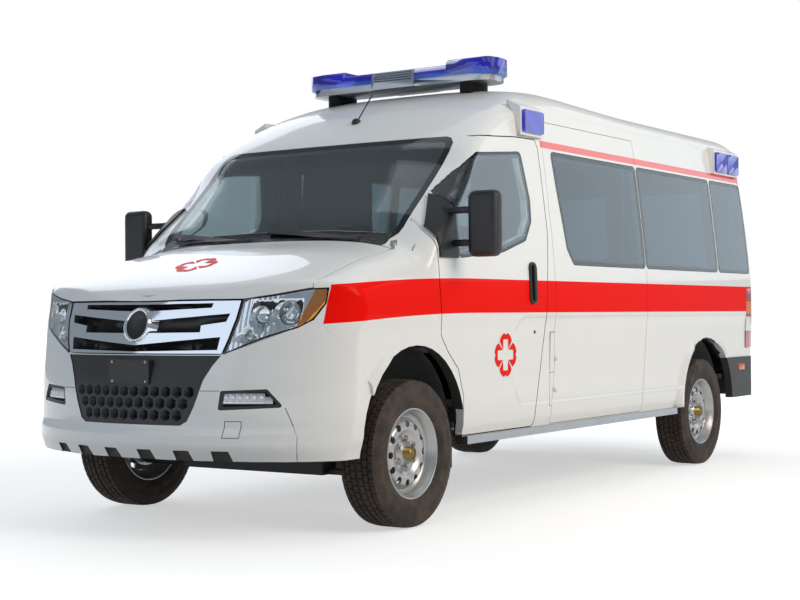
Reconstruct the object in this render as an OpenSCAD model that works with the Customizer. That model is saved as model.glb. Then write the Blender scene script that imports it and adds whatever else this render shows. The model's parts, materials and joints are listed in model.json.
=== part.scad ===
// High-roof van ambulance: hollow body of separate panels on a ladder frame,
// with hinged doors and bonnet, steered front wheels and a roof light bar.
// Frame: origin on the ground below the centre, front towards -Y, +X is the vehicle's left.

/* [Overall] */
// Width of the body at its belt
body_w = 2000; // [1900:10:2100]
// Height of the roof crown
roof_h = 2360; // [2250:10:2450]
// Height of the body where the bonnet meets the windscreen
cowl_h = 1411; // [1390:1:1430]
// Distance between the axles
wheelbase = 3580; // [3450:10:3650]
// From the nose to the front axle
front_overhang = 1000; // [960:5:1040]
// From the rear axle to the tail
rear_overhang = 920; // [860:10:1200]
// Height of the body's lower edge
sill_h = 412; // [400:2:430]
// Height of the bumper's lower edge
bumper_h = 375; // [350:5:390]
// Thickness of the body walls
wall = 60; // [54:1:70]
// Thickness of the doors and of the bonnet's rim
door_t = 44; // [38:1:48]
// Thickness of bumper and wing panels
panel_t = 26; // [20:1:32]
// Thickness of the glass
glass_t = 6; // [5:0.5:8]
// Gap around doors and lids
shut_gap = 6; // [6:0.5:8]
// Lap of a door over its jamb
jamb_lap = 28; // [22:1:34]
// Width of the bonded border behind a window
glass_lap = 34; // [28:1:40]

/* [Wheels] */
// Outside diameter of the tyres
tyre_d = 720; // [690:2:740]
// Width of the tyres
tyre_w = 214; // [195:1:225]
// Diameter of the rim flange
rim_d = 441; // [430:1:450]
// Distance between the wheel centres of an axle
track = 1720; // [1690:2:1730]
// Radius of the front wheel arch
arch_front_r = 445; // [435:1:455]
// Radius of the rear wheel arch
arch_rear_r = 422; // [412:1:440]
// Height of the wheel arch centres
arch_h = 440; // [430:1:450]
// Width of the lip around an arch
flare_w = 85; // [60:1:95]
// How far the lip stands out of the side
flare_out = 16; // [8:1:20]
// Radius of the stub axles
stub_r = 25; // [22:0.5:28]

/* [Doors and windows] */
// Lower edge of the doors
door_low = 420; // [418:1:440]
// Front door's front edge behind the front axle
door_front = 178; // [170:1:186]
// Front edge of the middle panel behind the front axle
mid_front = 1392; // [1340:1:1450]
// Width of the pillar between the front door and the middle panel
pillar_w = 92; // [84:1:100]
// From the middle panel's rear edge to the rear axle
mid_to_axle = 966; // [940:1:1000]
// From the roof crown down to the front doors' top edge
door_drop = 356; // [345:1:370]
// From the roof crown down to the middle panel's top edge
mid_drop = 242; // [230:1:255]
// Belt line, under the windows
belt_h = 1312; // [1300:1:1325]
// From the roof crown down to the side windows' top edge
glass_drop = 408; // [395:1:420]
// From the side windows' rear end to the tail
glass_end = 105; // [100:1:130]
// From the roof crown down to the roof seam
seam_drop = 155; // [145:1:165]
// Half width of the rear door opening
tail_half_w = 850; // [830:1:860]
// Lower edge of the rear doors
tail_low = 725; // [715:1:740]
// From the roof crown down to the rear doors' top edge
tail_drop = 235; // [220:1:260]

/* [Light bar] */
// Length of the light bar across the roof
bar_l = 1310; // [1200:5:1360]
// Depth of the light bar
bar_d = 300; // [260:5:330]
// Height of the light bar's body
bar_h = 132; // [120:2:150]
// Light bar's middle behind the front axle
bar_y = 1400; // [1360:5:1440]

/* [Hidden] */
$fn = 40;

// Clearance of a part from its seat
seat_gap = 0.3;
// How far a cutting shape runs past what it cuts
overrun = 40;
// Length over the bumpers, the axles, and the body's length behind the front axle
length = front_overhang + wheelbase + rear_overhang;
front_axle_y = -length / 2 + front_overhang;
rear_axle_y = front_axle_y + wheelbase;
tail_l = wheelbase + rear_overhang;
// Panel and window ends behind the front axle
door_rear = mid_front - pillar_w;
mid_rear = wheelbase - mid_to_axle;
glass_rear = tail_l - glass_end;
door_top = roof_h - door_drop;
mid_top = roof_h - mid_drop;
glass_top = roof_h - glass_drop;
roof_seam_h = roof_h - seam_drop;
tail_top = roof_h - tail_drop;
half_w = body_w / 2;
hub_h = tyre_d / 2;
white = [0.93, 0.93, 0.91];
black = [0.06, 0.06, 0.07];
steel = [0.72, 0.73, 0.75];
dark = [0.16, 0.16, 0.17];
blue = [0.05, 0.02, 0.75];

// A place behind the front axle, as a y coordinate
function at(d) = front_axle_y + d;
// A y coordinate from a share of the overhang below 0, of the cab up to 1 and of the load space up to 2
function y_of(s) = at(s < 0 ? s * front_overhang
    : s < 1 ? s * mid_front : mid_front + (s - 1) * (tail_l - mid_front));
// A height from a share of the roof's height; below the cowl only the cowl's height counts
cowl_share = 0.598;
function h_of(s) = s < cowl_share ? s / cowl_share * cowl_h
    : cowl_h + (s - cowl_share) / (1 - cowl_share) * (roof_h - cowl_h);

// Cross sections along the body: [y share, shoulder / roof height, crown / roof height, squareness]
section_shares = [
    [-1.100, 0.400, 0.462, 4.0],
    [-0.865, 0.405, 0.470, 4.0],
    [-0.800, 0.415, 0.494, 3.8],
    [-0.700, 0.424, 0.514, 3.6],
    [-0.500, 0.440, 0.544, 3.5],
    [-0.250, 0.448, 0.576, 3.5],
    [ 0.000, 0.468, 0.598, 3.4],
    [ 0.0453, 0.480, 0.606, 3.2],
    [ 0.1455, 0.572, 0.660, 3.0],
    [ 0.2586, 0.636, 0.720, 3.0],
    [ 0.3718, 0.704, 0.781, 3.0],
    [ 0.4784, 0.786, 0.842, 3.0],
    [ 0.5754, 0.830, 0.882, 3.0],
    [ 0.7177, 0.868, 0.930, 3.0],
    [ 0.8631, 0.894, 0.967, 3.0],
    [ 1.0024, 0.914, 0.990, 3.0],
    [ 1.0878, 0.918, 1.000, 3.0],
    [ 1.2471, 0.919, 0.993, 3.0],
    [ 1.4208, 0.919, 0.986, 3.0],
    [ 1.8986, 0.919, 0.984, 3.0],
    [ 1.9595, 0.908, 0.972, 3.0],
    [ 1.9884, 0.890, 0.950, 3.0],
    [ 2.0434, 0.880, 0.940, 3.0]];
// Half width up the side: [height / roof height, width / half body width]
side_shares = [
    [0.130, 0.950], [0.170, 0.962], [0.200, 0.980], [0.400, 0.989], [0.440, 1.000], [0.490, 1.000],
    [0.580, 0.986], [0.700, 0.957], [0.820, 0.923], [0.930, 0.886]];
// Steps of the curve from the shoulder to the crown
crown_steps = 7;
// Plan of the body at several heights: [height / roof height, nose / overhang, tail / tail length]
plan_shares = [
    [0.120, 0.930, 0.985],
    [0.152, 0.946, 0.988],
    [0.192, 1.000, 0.990],
    [0.206, 1.000, 0.991],
    [0.226, 0.976, 0.992],
    [0.300, 0.968, 0.992],
    [0.360, 0.940, 0.992],
    [0.424, 0.905, 0.992],
    [0.472, 0.862, 0.992],
    [0.560, 0.830, 0.990],
    [0.840, 0.800, 0.980],
    [1.060, 0.780, 0.966]];
// Where the nose's round plan meets the straight sides, as a share of the overhang
nose_end_share = 0.400;
nose_steps = 10;
// Half width of the plan where it runs clear of the sides, as a share
plan_over_share = 1.006;
tail_corner_r = 90;
tail_steps = 4;

// Half width of the side at a height
function side_w(z) = half_w * lookup(z, [for (p = side_shares) [h_of(p[0]), p[1]]]);
// A body set in by a panel's thickness is hidden, so it takes every other row of a table and the last
function rows(t, d) = d < bonnet_t ? t : [for (i = [0 : len(t) - 1]) if (i % 2 == 0 || i == len(t) - 1) t[i]];
// A curve of n steps takes half of them on a body set in by a thickness t or more
function steps(n, d, t) = d < t ? n : ceil(n / 2);
// One half section as [x, z], from the bottom edge up to the crown, set in by d
function half_section(s, d) = let(
        zs = h_of(s[1]),
        zb = d > 0 ? sill_h - 4 * overrun : bumper_h,
        ws = side_w(zs) - d,
        rise = h_of(s[2]) - zs - d,
        n = steps(crown_steps, d, wall))
    concat(
        [for (p = rows(side_shares, d)) let(z = max(zb, min(zs, h_of(p[0])))) [side_w(z) - d, z]],
        [[ws, zs]],
        [for (i = [1 : n]) let(a = 90 * i / n)
            [ws * pow(cos(a), 2 / s[3]), zs + rise * pow(sin(a), 2 / s[3])]]);
function mirrored(p) = [for (i = [len(p) - 1 : -1 : 0]) if (abs(p[i][0]) > seat_gap) [-p[i][0], p[i][1]]];
function section_ring(s, d) = let(h = half_section(s, d), y = y_of(s[0]))
    [for (p = concat(h, mirrored(h))) [p[0], y, p[1]]];
// One half plan as [x, y], from the nose's middle round to the tail
function half_plan(s, d) = let(
        w = half_w * plan_over_share - d,
        y_end = y_of(-nose_end_share),
        depth = (s[1] - nose_end_share) * front_overhang - d,
        y_tail = at(s[2] * tail_l) - d,
        r = max(tail_corner_r - d, tail_corner_r / 6),
        n = steps(nose_steps, d, bonnet_t),
        m = steps(tail_steps, d, bonnet_t))
    concat(
        [for (i = [0 : n]) let(a = 90 * i / n) [w * sin(a), y_end - depth * cos(a)]],
        [for (i = [0 : m]) let(a = 90 * i / m)
            [w - r + r * cos(a), y_tail - r + r * sin(a)]]);
function plan_ring(s, d) = let(h = half_plan(s, d))
    [for (p = concat(h, mirrored(h))) [p[0], p[1], h_of(s[0])]];

// A slice of a loft between two rings with the same number of points
module slice(a, b) {
    n = len(a);
    hull() polyhedron(points = concat(a, b), faces = concat(
        [[for (i = [0 : n - 1]) i], [for (i = [n - 1 : -1 : 0]) n + i]],
        [for (i = [0 : n - 1]) [i, n + i, n + (i + 1) % n, (i + 1) % n]]));
}
// The whole body as one solid, set in by d
module body_solid(d = 0) {
    sections = rows(section_shares, d);
    plans = rows(plan_shares, d);
    intersection() {
        union() for (i = [0 : len(sections) - 2])
            slice(section_ring(sections[i], d), section_ring(sections[i + 1], d));
        union() for (i = [0 : len(plans) - 2])
            slice(plan_ring(plans[i], d), plan_ring(plans[i + 1], d));
    }
}
// The body's skin between two depths
module skin(outer, inner) difference() { body_solid(outer); body_solid(inner); }

// Prisms from outlines drawn in side view [y, z], front view [x, z] and plan [x, y]
module side_prism(x0, x1) translate([x0, 0, 0]) rotate([90, 0, 90]) linear_extrude(x1 - x0) children();
module left_prism() side_prism(seat_gap / 2, half_w + overrun) children();
module flank_prism() side_prism(half_w * flank_share, half_w + overrun) children();
// Inner face of what is cut from the flanks, as a share of the half width
flank_share = 0.81;
module front_prism(y0, y1) translate([0, y1, 0]) rotate([90, 0, 0]) linear_extrude(y1 - y0) children();
module both_sides() { children(); mirror([1, 0, 0]) children(); }
module rounded(r) offset(r, $fn = outline_fn) offset(-r) children();
// Facets of a rounded outline's circles
outline_fn = 12;

// Outline from shares [across, up] of a box given by its low and high corners
function in_box(shares, lo, hi) = [for (p = shares)
    [lo[0] + p[0] * (hi[0] - lo[0]), lo[1] + p[1] * (hi[1] - lo[1])]];

// Front door and its window: [along the door, height up to 1 at the belt and 2 at the door's top]
door_shares = [
    [0.214, 0], [0.217, 0.222], [0.170, 0.380], [0.082, 0.481], [0.024, 0.572], [0, 0.852], [0, 1.185],
    [0.078, 1.458], [0.351, 1.870], [0.479, 1.952], [0.814, 1.993], [1.009, 2], [1.029, 1.936],
    [1.034, 1.233], [0.996, 0.908], [0.974, 0.574], [0.889, 0.117], [0.873, 0]];
door_glass_shares = [
    [0.173, 1.009], [0.579, 1.073], [0.807, 1.174], [0.880, 1.329], [0.890, 1.497], [0.845, 1.881],
    [0.423, 1.817], [0.173, 1.497]];
function in_door(shares) = [for (p = shares) [at(door_front + p[0] * (door_rear - door_front)),
    p[1] < 1 ? door_low + p[1] * (belt_h - door_low) : belt_h + (p[1] - 1) * (door_top - belt_h)]];
// Middle panel of the sides, and the front pane in it, as shares of their boxes
mid_shares = [[-0.037, 0], [0, 0.17], [0, 1], [1, 1], [1, 0.30], [0.951, 0]];
front_pane_shares = [[0, 1], [0.021, 0.66], [0.070, 0.14], [0.133, 0], [1, 0], [1, 1]];
box_shares = [[0, 0], [1, 0], [1, 1], [0, 1]];
// Front pane's top corner behind the middle panel's front edge
pane_front_inset = 89;
// Half gap between two panes
pane_half_gap = 8;
// Joint between the second and third panes, as a share of their length
pane_joint_share = 0.6693;
pane_joint = mid_rear + pane_joint_share * (glass_rear - mid_rear);
pane_r = 30;
door_r = 20;

module door_outline() rounded(door_r) polygon(in_door(door_shares));
module door_glass_outline() rounded(pane_r) polygon(in_door(door_glass_shares));
module mid_outline() rounded(door_r)
    polygon(in_box(mid_shares, [at(mid_front), door_low], [at(mid_rear), mid_top]));
module mid_pane_outline() rounded(pane_r) polygon(in_box(front_pane_shares,
    [at(mid_front + pane_front_inset), belt_h], [at(mid_rear - pane_half_gap), glass_top]));
module rear_pane_outline() {
    rounded(pane_r) polygon(in_box(box_shares,
        [at(mid_rear + pane_half_gap), belt_h], [at(pane_joint - pane_half_gap), glass_top]));
    rounded(pane_r) polygon(in_box(box_shares,
        [at(pane_joint + pane_half_gap), belt_h], [at(glass_rear), glass_top]));
}

// Windscreen in front view
screen_sink = 6;
screen_drop = 384;
screen_low = cowl_h - screen_sink;
screen_top = roof_h - screen_drop;
screen_half_w = 792;
screen_r = 70;
screen_shares = [[0, 0], [0.25, 0.047], [0.5, 0.061], [0.75, 0.047], [1, 0], [1, 1], [0, 1]];
module screen_outline() rounded(screen_r)
    polygon(in_box(screen_shares, [-screen_half_w, screen_low], [screen_half_w, screen_top]));
module screen_prism(grow) front_prism(at(bonnet_rear + 2 * shut_gap), at(screen_rear)) offset(delta = grow)
    screen_outline();
// Rear end of the windscreen, as a share of the cab
screen_rear_share = 0.546;
screen_rear = screen_rear_share * mid_front;

// Nose outlines as shares: front view [x / half width, z / roof height],
// side view [y / overhang, z / roof height]
lamp_shares = [
    [0.492, 0.363], [0.516, 0.392], [0.540, 0.432], [0.548, 0.4715], [0.690, 0.479], [0.833, 0.4905],
    [0.900, 0.4915], [0.893, 0.460], [0.854, 0.429], [0.800, 0.414], [0.668, 0.395]];
bonnet_front_shares = [
    [-0.95, 0.700], [-0.95, 0.495], [-0.833, 0.4915], [-0.690, 0.4800], [-0.548, 0.4715], [0.548, 0.4715],
    [0.690, 0.4800], [0.833, 0.4915], [0.95, 0.495], [0.95, 0.700]];
bonnet_plan_shares = [[0.832, -0.300], [0.850, -0.580], [0.836, -0.650], [0.836, -1.100], [0, -1.100]];
upper_grille_shares = [[0.484, 0.3655], [0.508, 0.394], [0.531, 0.432], [0.538, 0.468]];
lower_grille_shares = [
    [0.300, 0.2265], [0.336, 0.235], [0.369, 0.263], [0.393, 0.290], [0.412, 0.315], [0.450, 0.343],
    [0.484, 0.3617]];
fog_shares = [[0.485, 0.257], [0.497, 0.2945], [0.700, 0.2980], [0.765, 0.263]];
bumper_shares = [
    [-1.200, 0.100], [-1.200, 0.3635], [-0.870, 0.3635], [-0.778, 0.395], [-0.714, 0.414], [-0.663, 0.429],
    [-0.410, 0.300], [-0.300, 0.100]];
// Half width of the bonnet at its rear edge, and that edge behind the front axle
bonnet_half_w = 815;
bonnet_rear = 22;
bonnet_t = 24;
// Front end of the wings ahead of the front axle, as a share of the overhang
wing_share = 0.72;
// Ledge of the wings under the bonnet's edge
ledge_w = 30;
ledge_t = 14;

function in_front(shares) = [for (p = shares) [p[0] * half_w, h_of(p[1])]];
function in_side(shares) = [for (p = shares) [y_of(p[0]), h_of(p[1])]];
function flip(p) = [for (i = [len(p) - 1 : -1 : 0]) if (p[i][0] != 0) [-p[i][0], p[i][1]]];
module nose_prism() front_prism(y_of(-1) - overrun, y_of(-nose_end_share) + overrun) children();
module lamp_outline() polygon(in_front(lamp_shares));
module grille_outline(shares) let(h = in_front(shares)) polygon(concat(h, flip(h)));
module fog_outline() rounded(door_r / 2) polygon(in_front(fog_shares));
function bonnet_half() = concat([[0, at(bonnet_rear)], [bonnet_half_w, at(bonnet_rear)]],
    [for (p = bonnet_plan_shares) [p[0] * half_w, y_of(p[1])]]);
module bonnet_prism(grow) intersection() {
    translate([0, 0, sill_h]) linear_extrude(roof_h) offset(delta = grow)
        polygon(concat(bonnet_half(), flip(bonnet_half())));
    front_prism(y_of(-1) - overrun, at(bonnet_rear + overrun)) offset(delta = grow)
        polygon(in_front(bonnet_front_shares));
}

// Wheel arches
arch_back = 45;
module arch_outline(y, r) {
    translate([y, arch_h]) circle(r);
    translate([y - r, 0]) square([2 * r, arch_h]);
}
module front_arch(grow = 0) arch_outline(front_axle_y - arch_back / 3, arch_front_r + grow);
module rear_arch(grow = 0) arch_outline(rear_axle_y + arch_back / 3, arch_rear_r + grow);
// A lip around an arch, on the left side
module flare(y, r) translate([half_w * flare_seat_share, y, arch_h]) rotate([0, 90, 0]) rotate_extrude()
    polygon([[r - wall, -wall / 2], [r + flare_w, -wall / 2], [r + flare_w, 0],
        [r + flare_w / 3, flare_out], [r - wall, flare_out]]);
// Depth of the side where a lip stands, as a share of the half width
flare_seat_share = 0.984;

// Roof in side view, above the seam, with the header over the rear doors
roof_front_shares = [[0.4203, 0.838], [0.4849, 0.841], [0.7177, 0.900], [1.0024, 0.9345]];
module roof_region(grow) {
    side_prism(-half_w - overrun, half_w + overrun) offset(delta = grow) polygon(concat(
        in_side(roof_front_shares),
        [[at(tail_l + overrun), roof_seam_h], [at(tail_l + overrun), roof_h + overrun],
            [at(0), roof_h + overrun]]));
    front_prism(at(glass_rear), at(tail_l + overrun)) offset(delta = grow) polygon(in_box(box_shares,
        [2 * tail_door_r - tail_half_w, tail_top - overrun], [tail_half_w - 2 * tail_door_r, roof_h]));
    front_prism(at(screen_rear - screen_depth), at(screen_rear)) offset(delta = grow)
        polygon(in_box(box_shares,
            [screen_r - screen_half_w, screen_top - overrun], [screen_half_w - screen_r, roof_h]));
}
// How far the header above the windscreen reaches forward
screen_depth = 260;
// Rear doors in rear view, on the left of the middle
tail_door_r = 60;
module tail_outline() rounded(tail_door_r)
    polygon(in_box(box_shares, [shut_gap / 2, tail_low], [tail_half_w, tail_top]));
module tail_opening(grow) offset(delta = grow) rounded(tail_door_r)
    polygon(in_box(box_shares, [-tail_half_w, tail_low], [tail_half_w, tail_top]));
module tail_prism() front_prism(at(tail_l - tail_depth), at(tail_l + overrun)) children();
// How far the region that the rear doors are cut from reaches forward of the tail
tail_depth = 170;
tail_pane_shares = [[0.13, 0.44], [0.88, 0.44], [0.86, 0.87], [0.13, 0.87]];
module tail_pane_outline() rounded(pane_r)
    polygon(in_box(tail_pane_shares, [0, tail_low], [tail_half_w, tail_top]));

// Cuts for a door over its jamb, and for a pane over its border
module door_cut(prism_depth = door_t) difference() { children(); body_solid(prism_depth + seat_gap); }
module pane_cut() difference() { children(); body_solid(glass_t + seat_gap); }

// Rear bumper's top edge, and the scuttle between bonnet and windscreen
rear_bumper_top = 715;
scuttle_half_w = 750;
scuttle_rear = 140;
scuttle_lap = 38;
module scuttle_region(grow) intersection() {
    front_prism(at(bonnet_rear + shut_gap - grow), at(scuttle_rear)) offset(delta = grow)
        polygon(in_box(box_shares, [-scuttle_half_w, sill_h], [scuttle_half_w, screen_low + scuttle_lap]));
}

// Foot of the screen pillar, where the opening door turns in over the jamb and needs it cut away
foot_l = 110;
foot_h = 230;
module pillar_foot() intersection() {
    offset(delta = shut_gap) door_outline();
    polygon(in_box(box_shares, [at(door_front - shut_gap), belt_h],
        [at(door_front + foot_l), belt_h + foot_h]));
}

// Side of the body with pillars, door frame, window openings and rear corner
module side_region() left_prism() difference() {
    polygon([[at(door_front - shut_gap), sill_h], [at(tail_l + overrun), sill_h],
        [at(tail_l + overrun), roof_h],
        [at(bonnet_rear + shut_gap), roof_h], [at(bonnet_rear + shut_gap), screen_low],
        [at(door_front - shut_gap), screen_low]]);
    front_arch();
    rear_arch();
    translate([at(wheelbase), 0]) square([tail_l, rear_bumper_top + seat_gap]);
}
module body_side() difference() {
    union() {
        intersection() { skin(0, wall); side_region(); }
        intersection() {
            flare(rear_axle_y + arch_back / 3, arch_rear_r);
            left_prism() difference() {
                polygon(in_box(box_shares, [at(mid_rear), sill_h], [at(tail_l), roof_h]));
                rear_arch();
                offset(delta = shut_gap) mid_outline();
                translate([at(wheelbase), 0]) square([tail_l, rear_bumper_top + seat_gap]);
            }
        }
    }
    roof_region(seat_gap);
    scuttle_region(seat_gap);
    door_cut() flank_prism() offset(delta = shut_gap) door_outline();
    flank_prism() offset(delta = -jamb_lap) door_outline();
    flank_prism() pillar_foot();
    door_cut() flank_prism() offset(delta = seam_gap) mid_outline();
    flank_prism() offset(delta = -jamb_lap) mid_outline();
    pane_cut() flank_prism() offset(delta = seam_gap) rear_pane_outline();
    flank_prism() offset(delta = -glass_lap) rear_pane_outline();
    pane_cut() screen_prism(seam_gap);
    screen_prism(-glass_lap);
    door_cut() tail_prism() tail_opening(shut_gap);
    tail_prism() tail_opening(-jamb_lap);
    down_to(tail_lamp_d + seat_gap) tail_lamp_prism(seam_gap);
    tail_hinges(seam_gap / 2);
}
// Seam around fixed panels and panes
seam_gap = 3;
// Hinges of the rear doors: radius, length, places up the door as shares,
// and their axis beside the door and ahead of the tail
hinge_r = 9;
hinge_l = 90;
hinge_shares = [0.10, 0.48, 0.90];
hinge_beside = 2;
hinge_in = 34;
module at_hinges() for (h = hinge_shares)
    translate([tail_half_w + hinge_beside, at(tail_l - hinge_in), tail_low + h * (tail_top - tail_low)])
        children();
module tail_hinges(grow) at_hinges()
    cylinder(r = hinge_r + grow, h = hinge_l + 2 * grow, center = true, $fn = 20);
// Arms that carry the hinges out from the leaning doors
hinge_arm_w = 50;
hinge_arm_l = 90;
module hinge_arms() down_to(door_t / 2) at_hinges()
    translate([-hinge_beside - hinge_beside - hinge_arm_w, -hinge_arm_l, -hinge_l / 3])
        cube([hinge_arm_w, hinge_arm_l, 2 * hinge_l / 3]);
// Flap on the left pillar behind the front door: seams as [share of the pillar's width, z / roof height]
flap_seam_shares = [
    [[0.60, 0.394], [0.05, 0.394]], [[0.60, 0.299], [0.05, 0.299]], [[0.60, 0.2203], [0.05, 0.2203]],
    [[0.60, 0.2203], [0.60, 0.394]]];
module left_side() color(white) difference() {
    body_side();
    down_to(groove_t) flank_prism() for (l = flap_seam_shares)
        seam_line([for (p = l) [at(mid_front - p[0] * pillar_w), h_of(p[1])]]);
}
// Rail of the sliding door, behind it
slide_h = 34;
slide_drop = 60;
slide_end = 190;
slide_out = 6;
module right_side() color(white) mirror([1, 0, 0]) {
    body_side();
    intersection() {
        skin(-slide_out, wall / 2);
        flank_prism() translate([at(mid_rear + 2 * seam_gap), belt_h - slide_drop - slide_h])
            square([tail_l - mid_rear - slide_end, slide_h]);
    }
}
module roof_panel() color(white) difference() {
    intersection() { skin(0, wall); roof_region(0); }
    pane_cut() screen_prism(seam_gap);
    screen_prism(-glass_lap);
    door_cut() tail_prism() tail_opening(shut_gap);
    tail_prism() tail_opening(-jamb_lap);
}
module windscreen() color(dark) intersection() { skin(0, glass_t); screen_prism(0); }
module side_windows() color(dark) both_sides() {
    intersection() { skin(0, glass_t); flank_prism() rear_pane_outline(); }
    intersection() { skin(0, glass_t); flank_prism() mid_pane_outline(); }
}
module middle() difference() {
    intersection() { skin(0, door_t); flank_prism() mid_outline(); }
    pane_cut() flank_prism() offset(delta = seam_gap) mid_pane_outline();
    flank_prism() offset(delta = -glass_lap) mid_pane_outline();
}
module mid_panel() color(white) middle();
// Handle of the sliding door behind its front edge
slide_handle = 110;
module sliding_door() color(white) mirror([1, 0, 0]) {
    middle();
    handle(mid_front + slide_handle, door_t / 2);
}

// Front doors with their glass, and the rear doors
module front_door() difference() {
    intersection() { skin(0, door_t); flank_prism() door_outline(); }
    pane_cut() flank_prism() offset(delta = seam_gap) door_glass_outline();
    flank_prism() offset(delta = -glass_lap) door_glass_outline();
}
module front_door_left() color(white) front_door();
module front_door_right() color(white) mirror([1, 0, 0]) front_door();
module door_glass() intersection() { skin(0, glass_t); flank_prism() door_glass_outline(); }
module door_glass_left() color(dark) door_glass();
module door_glass_right() color(dark) mirror([1, 0, 0]) door_glass();
module rear_door() {
    difference() {
        intersection() { skin(0, door_t); tail_prism() tail_outline(); }
        pane_cut() tail_prism() offset(delta = seam_gap) tail_pane_outline();
        tail_prism() offset(delta = -glass_lap) tail_pane_outline();
    }
    tail_hinges(0);
    hinge_arms();
}
tail_handle_x = 50;
tail_handle_w = 34;
tail_handle_low = 960;
tail_handle_h = 170;
tail_handle_out = 20;
module rear_door_left() color(white) {
    rear_door();
    intersection() {
        skin(-tail_handle_out, door_t / 2);
        tail_prism() translate([tail_handle_x, tail_handle_low]) square([tail_handle_w, tail_handle_h]);
    }
}
module rear_door_right() color(white) mirror([1, 0, 0]) rear_door();
module rear_glass() intersection() { skin(0, glass_t); tail_prism() tail_pane_outline(); }
module rear_glass_left() color(dark) rear_glass();
module rear_glass_right() color(dark) mirror([1, 0, 0]) rear_glass();

// Nose panels
module bumper_region(grow) side_prism(-half_w - overrun, half_w + overrun) offset(delta = grow)
    polygon(in_side(bumper_shares));
module wing_box(top) polygon(in_box(box_shares,
    [y_of(-wing_share), sill_h], [at(door_front - shut_gap - seat_gap), top]));
module front_wings() color(white) both_sides() difference() {
    union() {
        intersection() {
            skin(0, panel_t + ledge_t);
            left_prism() wing_box(screen_low - seat_gap);
        }
        intersection() {
            flare(front_axle_y - arch_back / 3, arch_front_r);
            left_prism() wing_box(arch_h + arch_front_r + flare_w);
        }
    }
    difference() { bonnet_prism(shut_gap); body_solid(bonnet_t + seat_gap); }
    bonnet_prism(-ledge_w);
    bumper_region(seat_gap);
    nose_prism() offset(delta = seat_gap) lamp_outline();
    nose_prism() grille_outline(upper_grille_shares);
    scuttle_region(seat_gap);
    left_prism() front_arch();
    flank_prism() offset(delta = shut_gap) door_outline();
}
module bonnet() color(white) intersection() { skin(0, bonnet_t); bonnet_prism(0); }
// Front bumper: recesses under its lip, the tow eye's cover and the seams beside them
notch_shares = [-0.50, -0.31, -0.105, 0.105, 0.31, 0.50];
notch_w = 80;
notch_h = 50;
notch_depth = 9;
// Width at the foot of a recess, as a share of its width
notch_foot_share = 1.25;
tow_w = 74;
tow_shares = [[0.556, 0.2204]];
bumper_seam_shares = [
    [[0.769, 0.2621], [0.820, 0.2034], [0.805, 0.1500]],
    [[0.400, 0.2941], [0.492, 0.2941]]];
groove_t = 5;
module notch() polygon([
    [-notch_w / 2 * notch_foot_share, -overrun], [notch_w / 2 * notch_foot_share, -overrun],
    [notch_w / 2, notch_h], [-notch_w / 2, notch_h]]);
// A thin line along points
module seam_line(points) for (i = [0 : len(points) - 2]) hull() for (j = [i, i + 1])
    translate(points[j]) circle(seam_gap / 2, $fn = 6);
module frame_line(w) difference() {
    square(w + seam_gap, center = true);
    square(w - seam_gap, center = true);
}
// What lies outside a depth under the skin
module down_to(depth) difference() { children(); body_solid(depth); }
module front_bumper() color(white) difference() {
    intersection() { skin(0, panel_t); bumper_region(0); }
    side_prism(-half_w - overrun, half_w + overrun) front_arch();
    nose_prism() grille_outline(lower_grille_shares);
    nose_prism() offset(delta = seat_gap) grille_outline(upper_grille_shares);
    both_sides() nose_prism() {
        fog_outline();
        offset(delta = seat_gap) lamp_outline();
    }
    down_to(notch_depth) nose_prism() for (n = notch_shares) translate([n * half_w, bumper_h]) notch();
    down_to(groove_t) {
        nose_prism() for (t = in_front(tow_shares)) translate(t) frame_line(tow_w);
        both_sides() nose_prism() for (l = bumper_seam_shares) seam_line(in_front(l));
    }
}

// Headlamps: a housing with bowls and a projector behind a clear cover
lamp_depth = 70;
lens_t = 4;
bowl_r = 56;
bowl_depth = 52;
// Bowls of a headlamp: [x / half width, z / roof height, radius / largest radius]
bowl_shares = [[0.746, 0.4428, 1], [0.636, 0.4389, 0.76], [0.590, 0.4000, 0.5]];
// Projector in the first bowl, as a share of its radius, and how far its face lies under the skin
projector_share = 0.68;
projector_sink = 26;
module bowl(b, share) translate([b[0] * half_w, h_of(b[1])]) circle(share * b[2] * bowl_r, $fn = 20);
module headlamps() color(steel) both_sides() {
    difference() {
        intersection() { skin(lens_t + seat_gap, lamp_depth); nose_prism() lamp_outline(); }
        down_to(bowl_depth) nose_prism() for (b = bowl_shares) bowl(b, 1);
    }
    intersection() {
        skin(projector_sink, lamp_depth);
        nose_prism() bowl(bowl_shares[0], projector_share);
    }
}
module headlamp_lenses() color(steel) both_sides() intersection() {
    skin(0, lens_t);
    nose_prism() lamp_outline();
}
// Fog lamps: a rim around a sunk face
fog_rim = 14;
fog_sink = 16;
module fog_lamps() color(black) both_sides() difference() {
    intersection() {
        skin(seam_gap, lamp_depth);
        nose_prism() offset(delta = -seat_gap) fog_outline();
    }
    down_to(fog_sink) nose_prism() offset(delta = -fog_rim) fog_outline();
}

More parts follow.
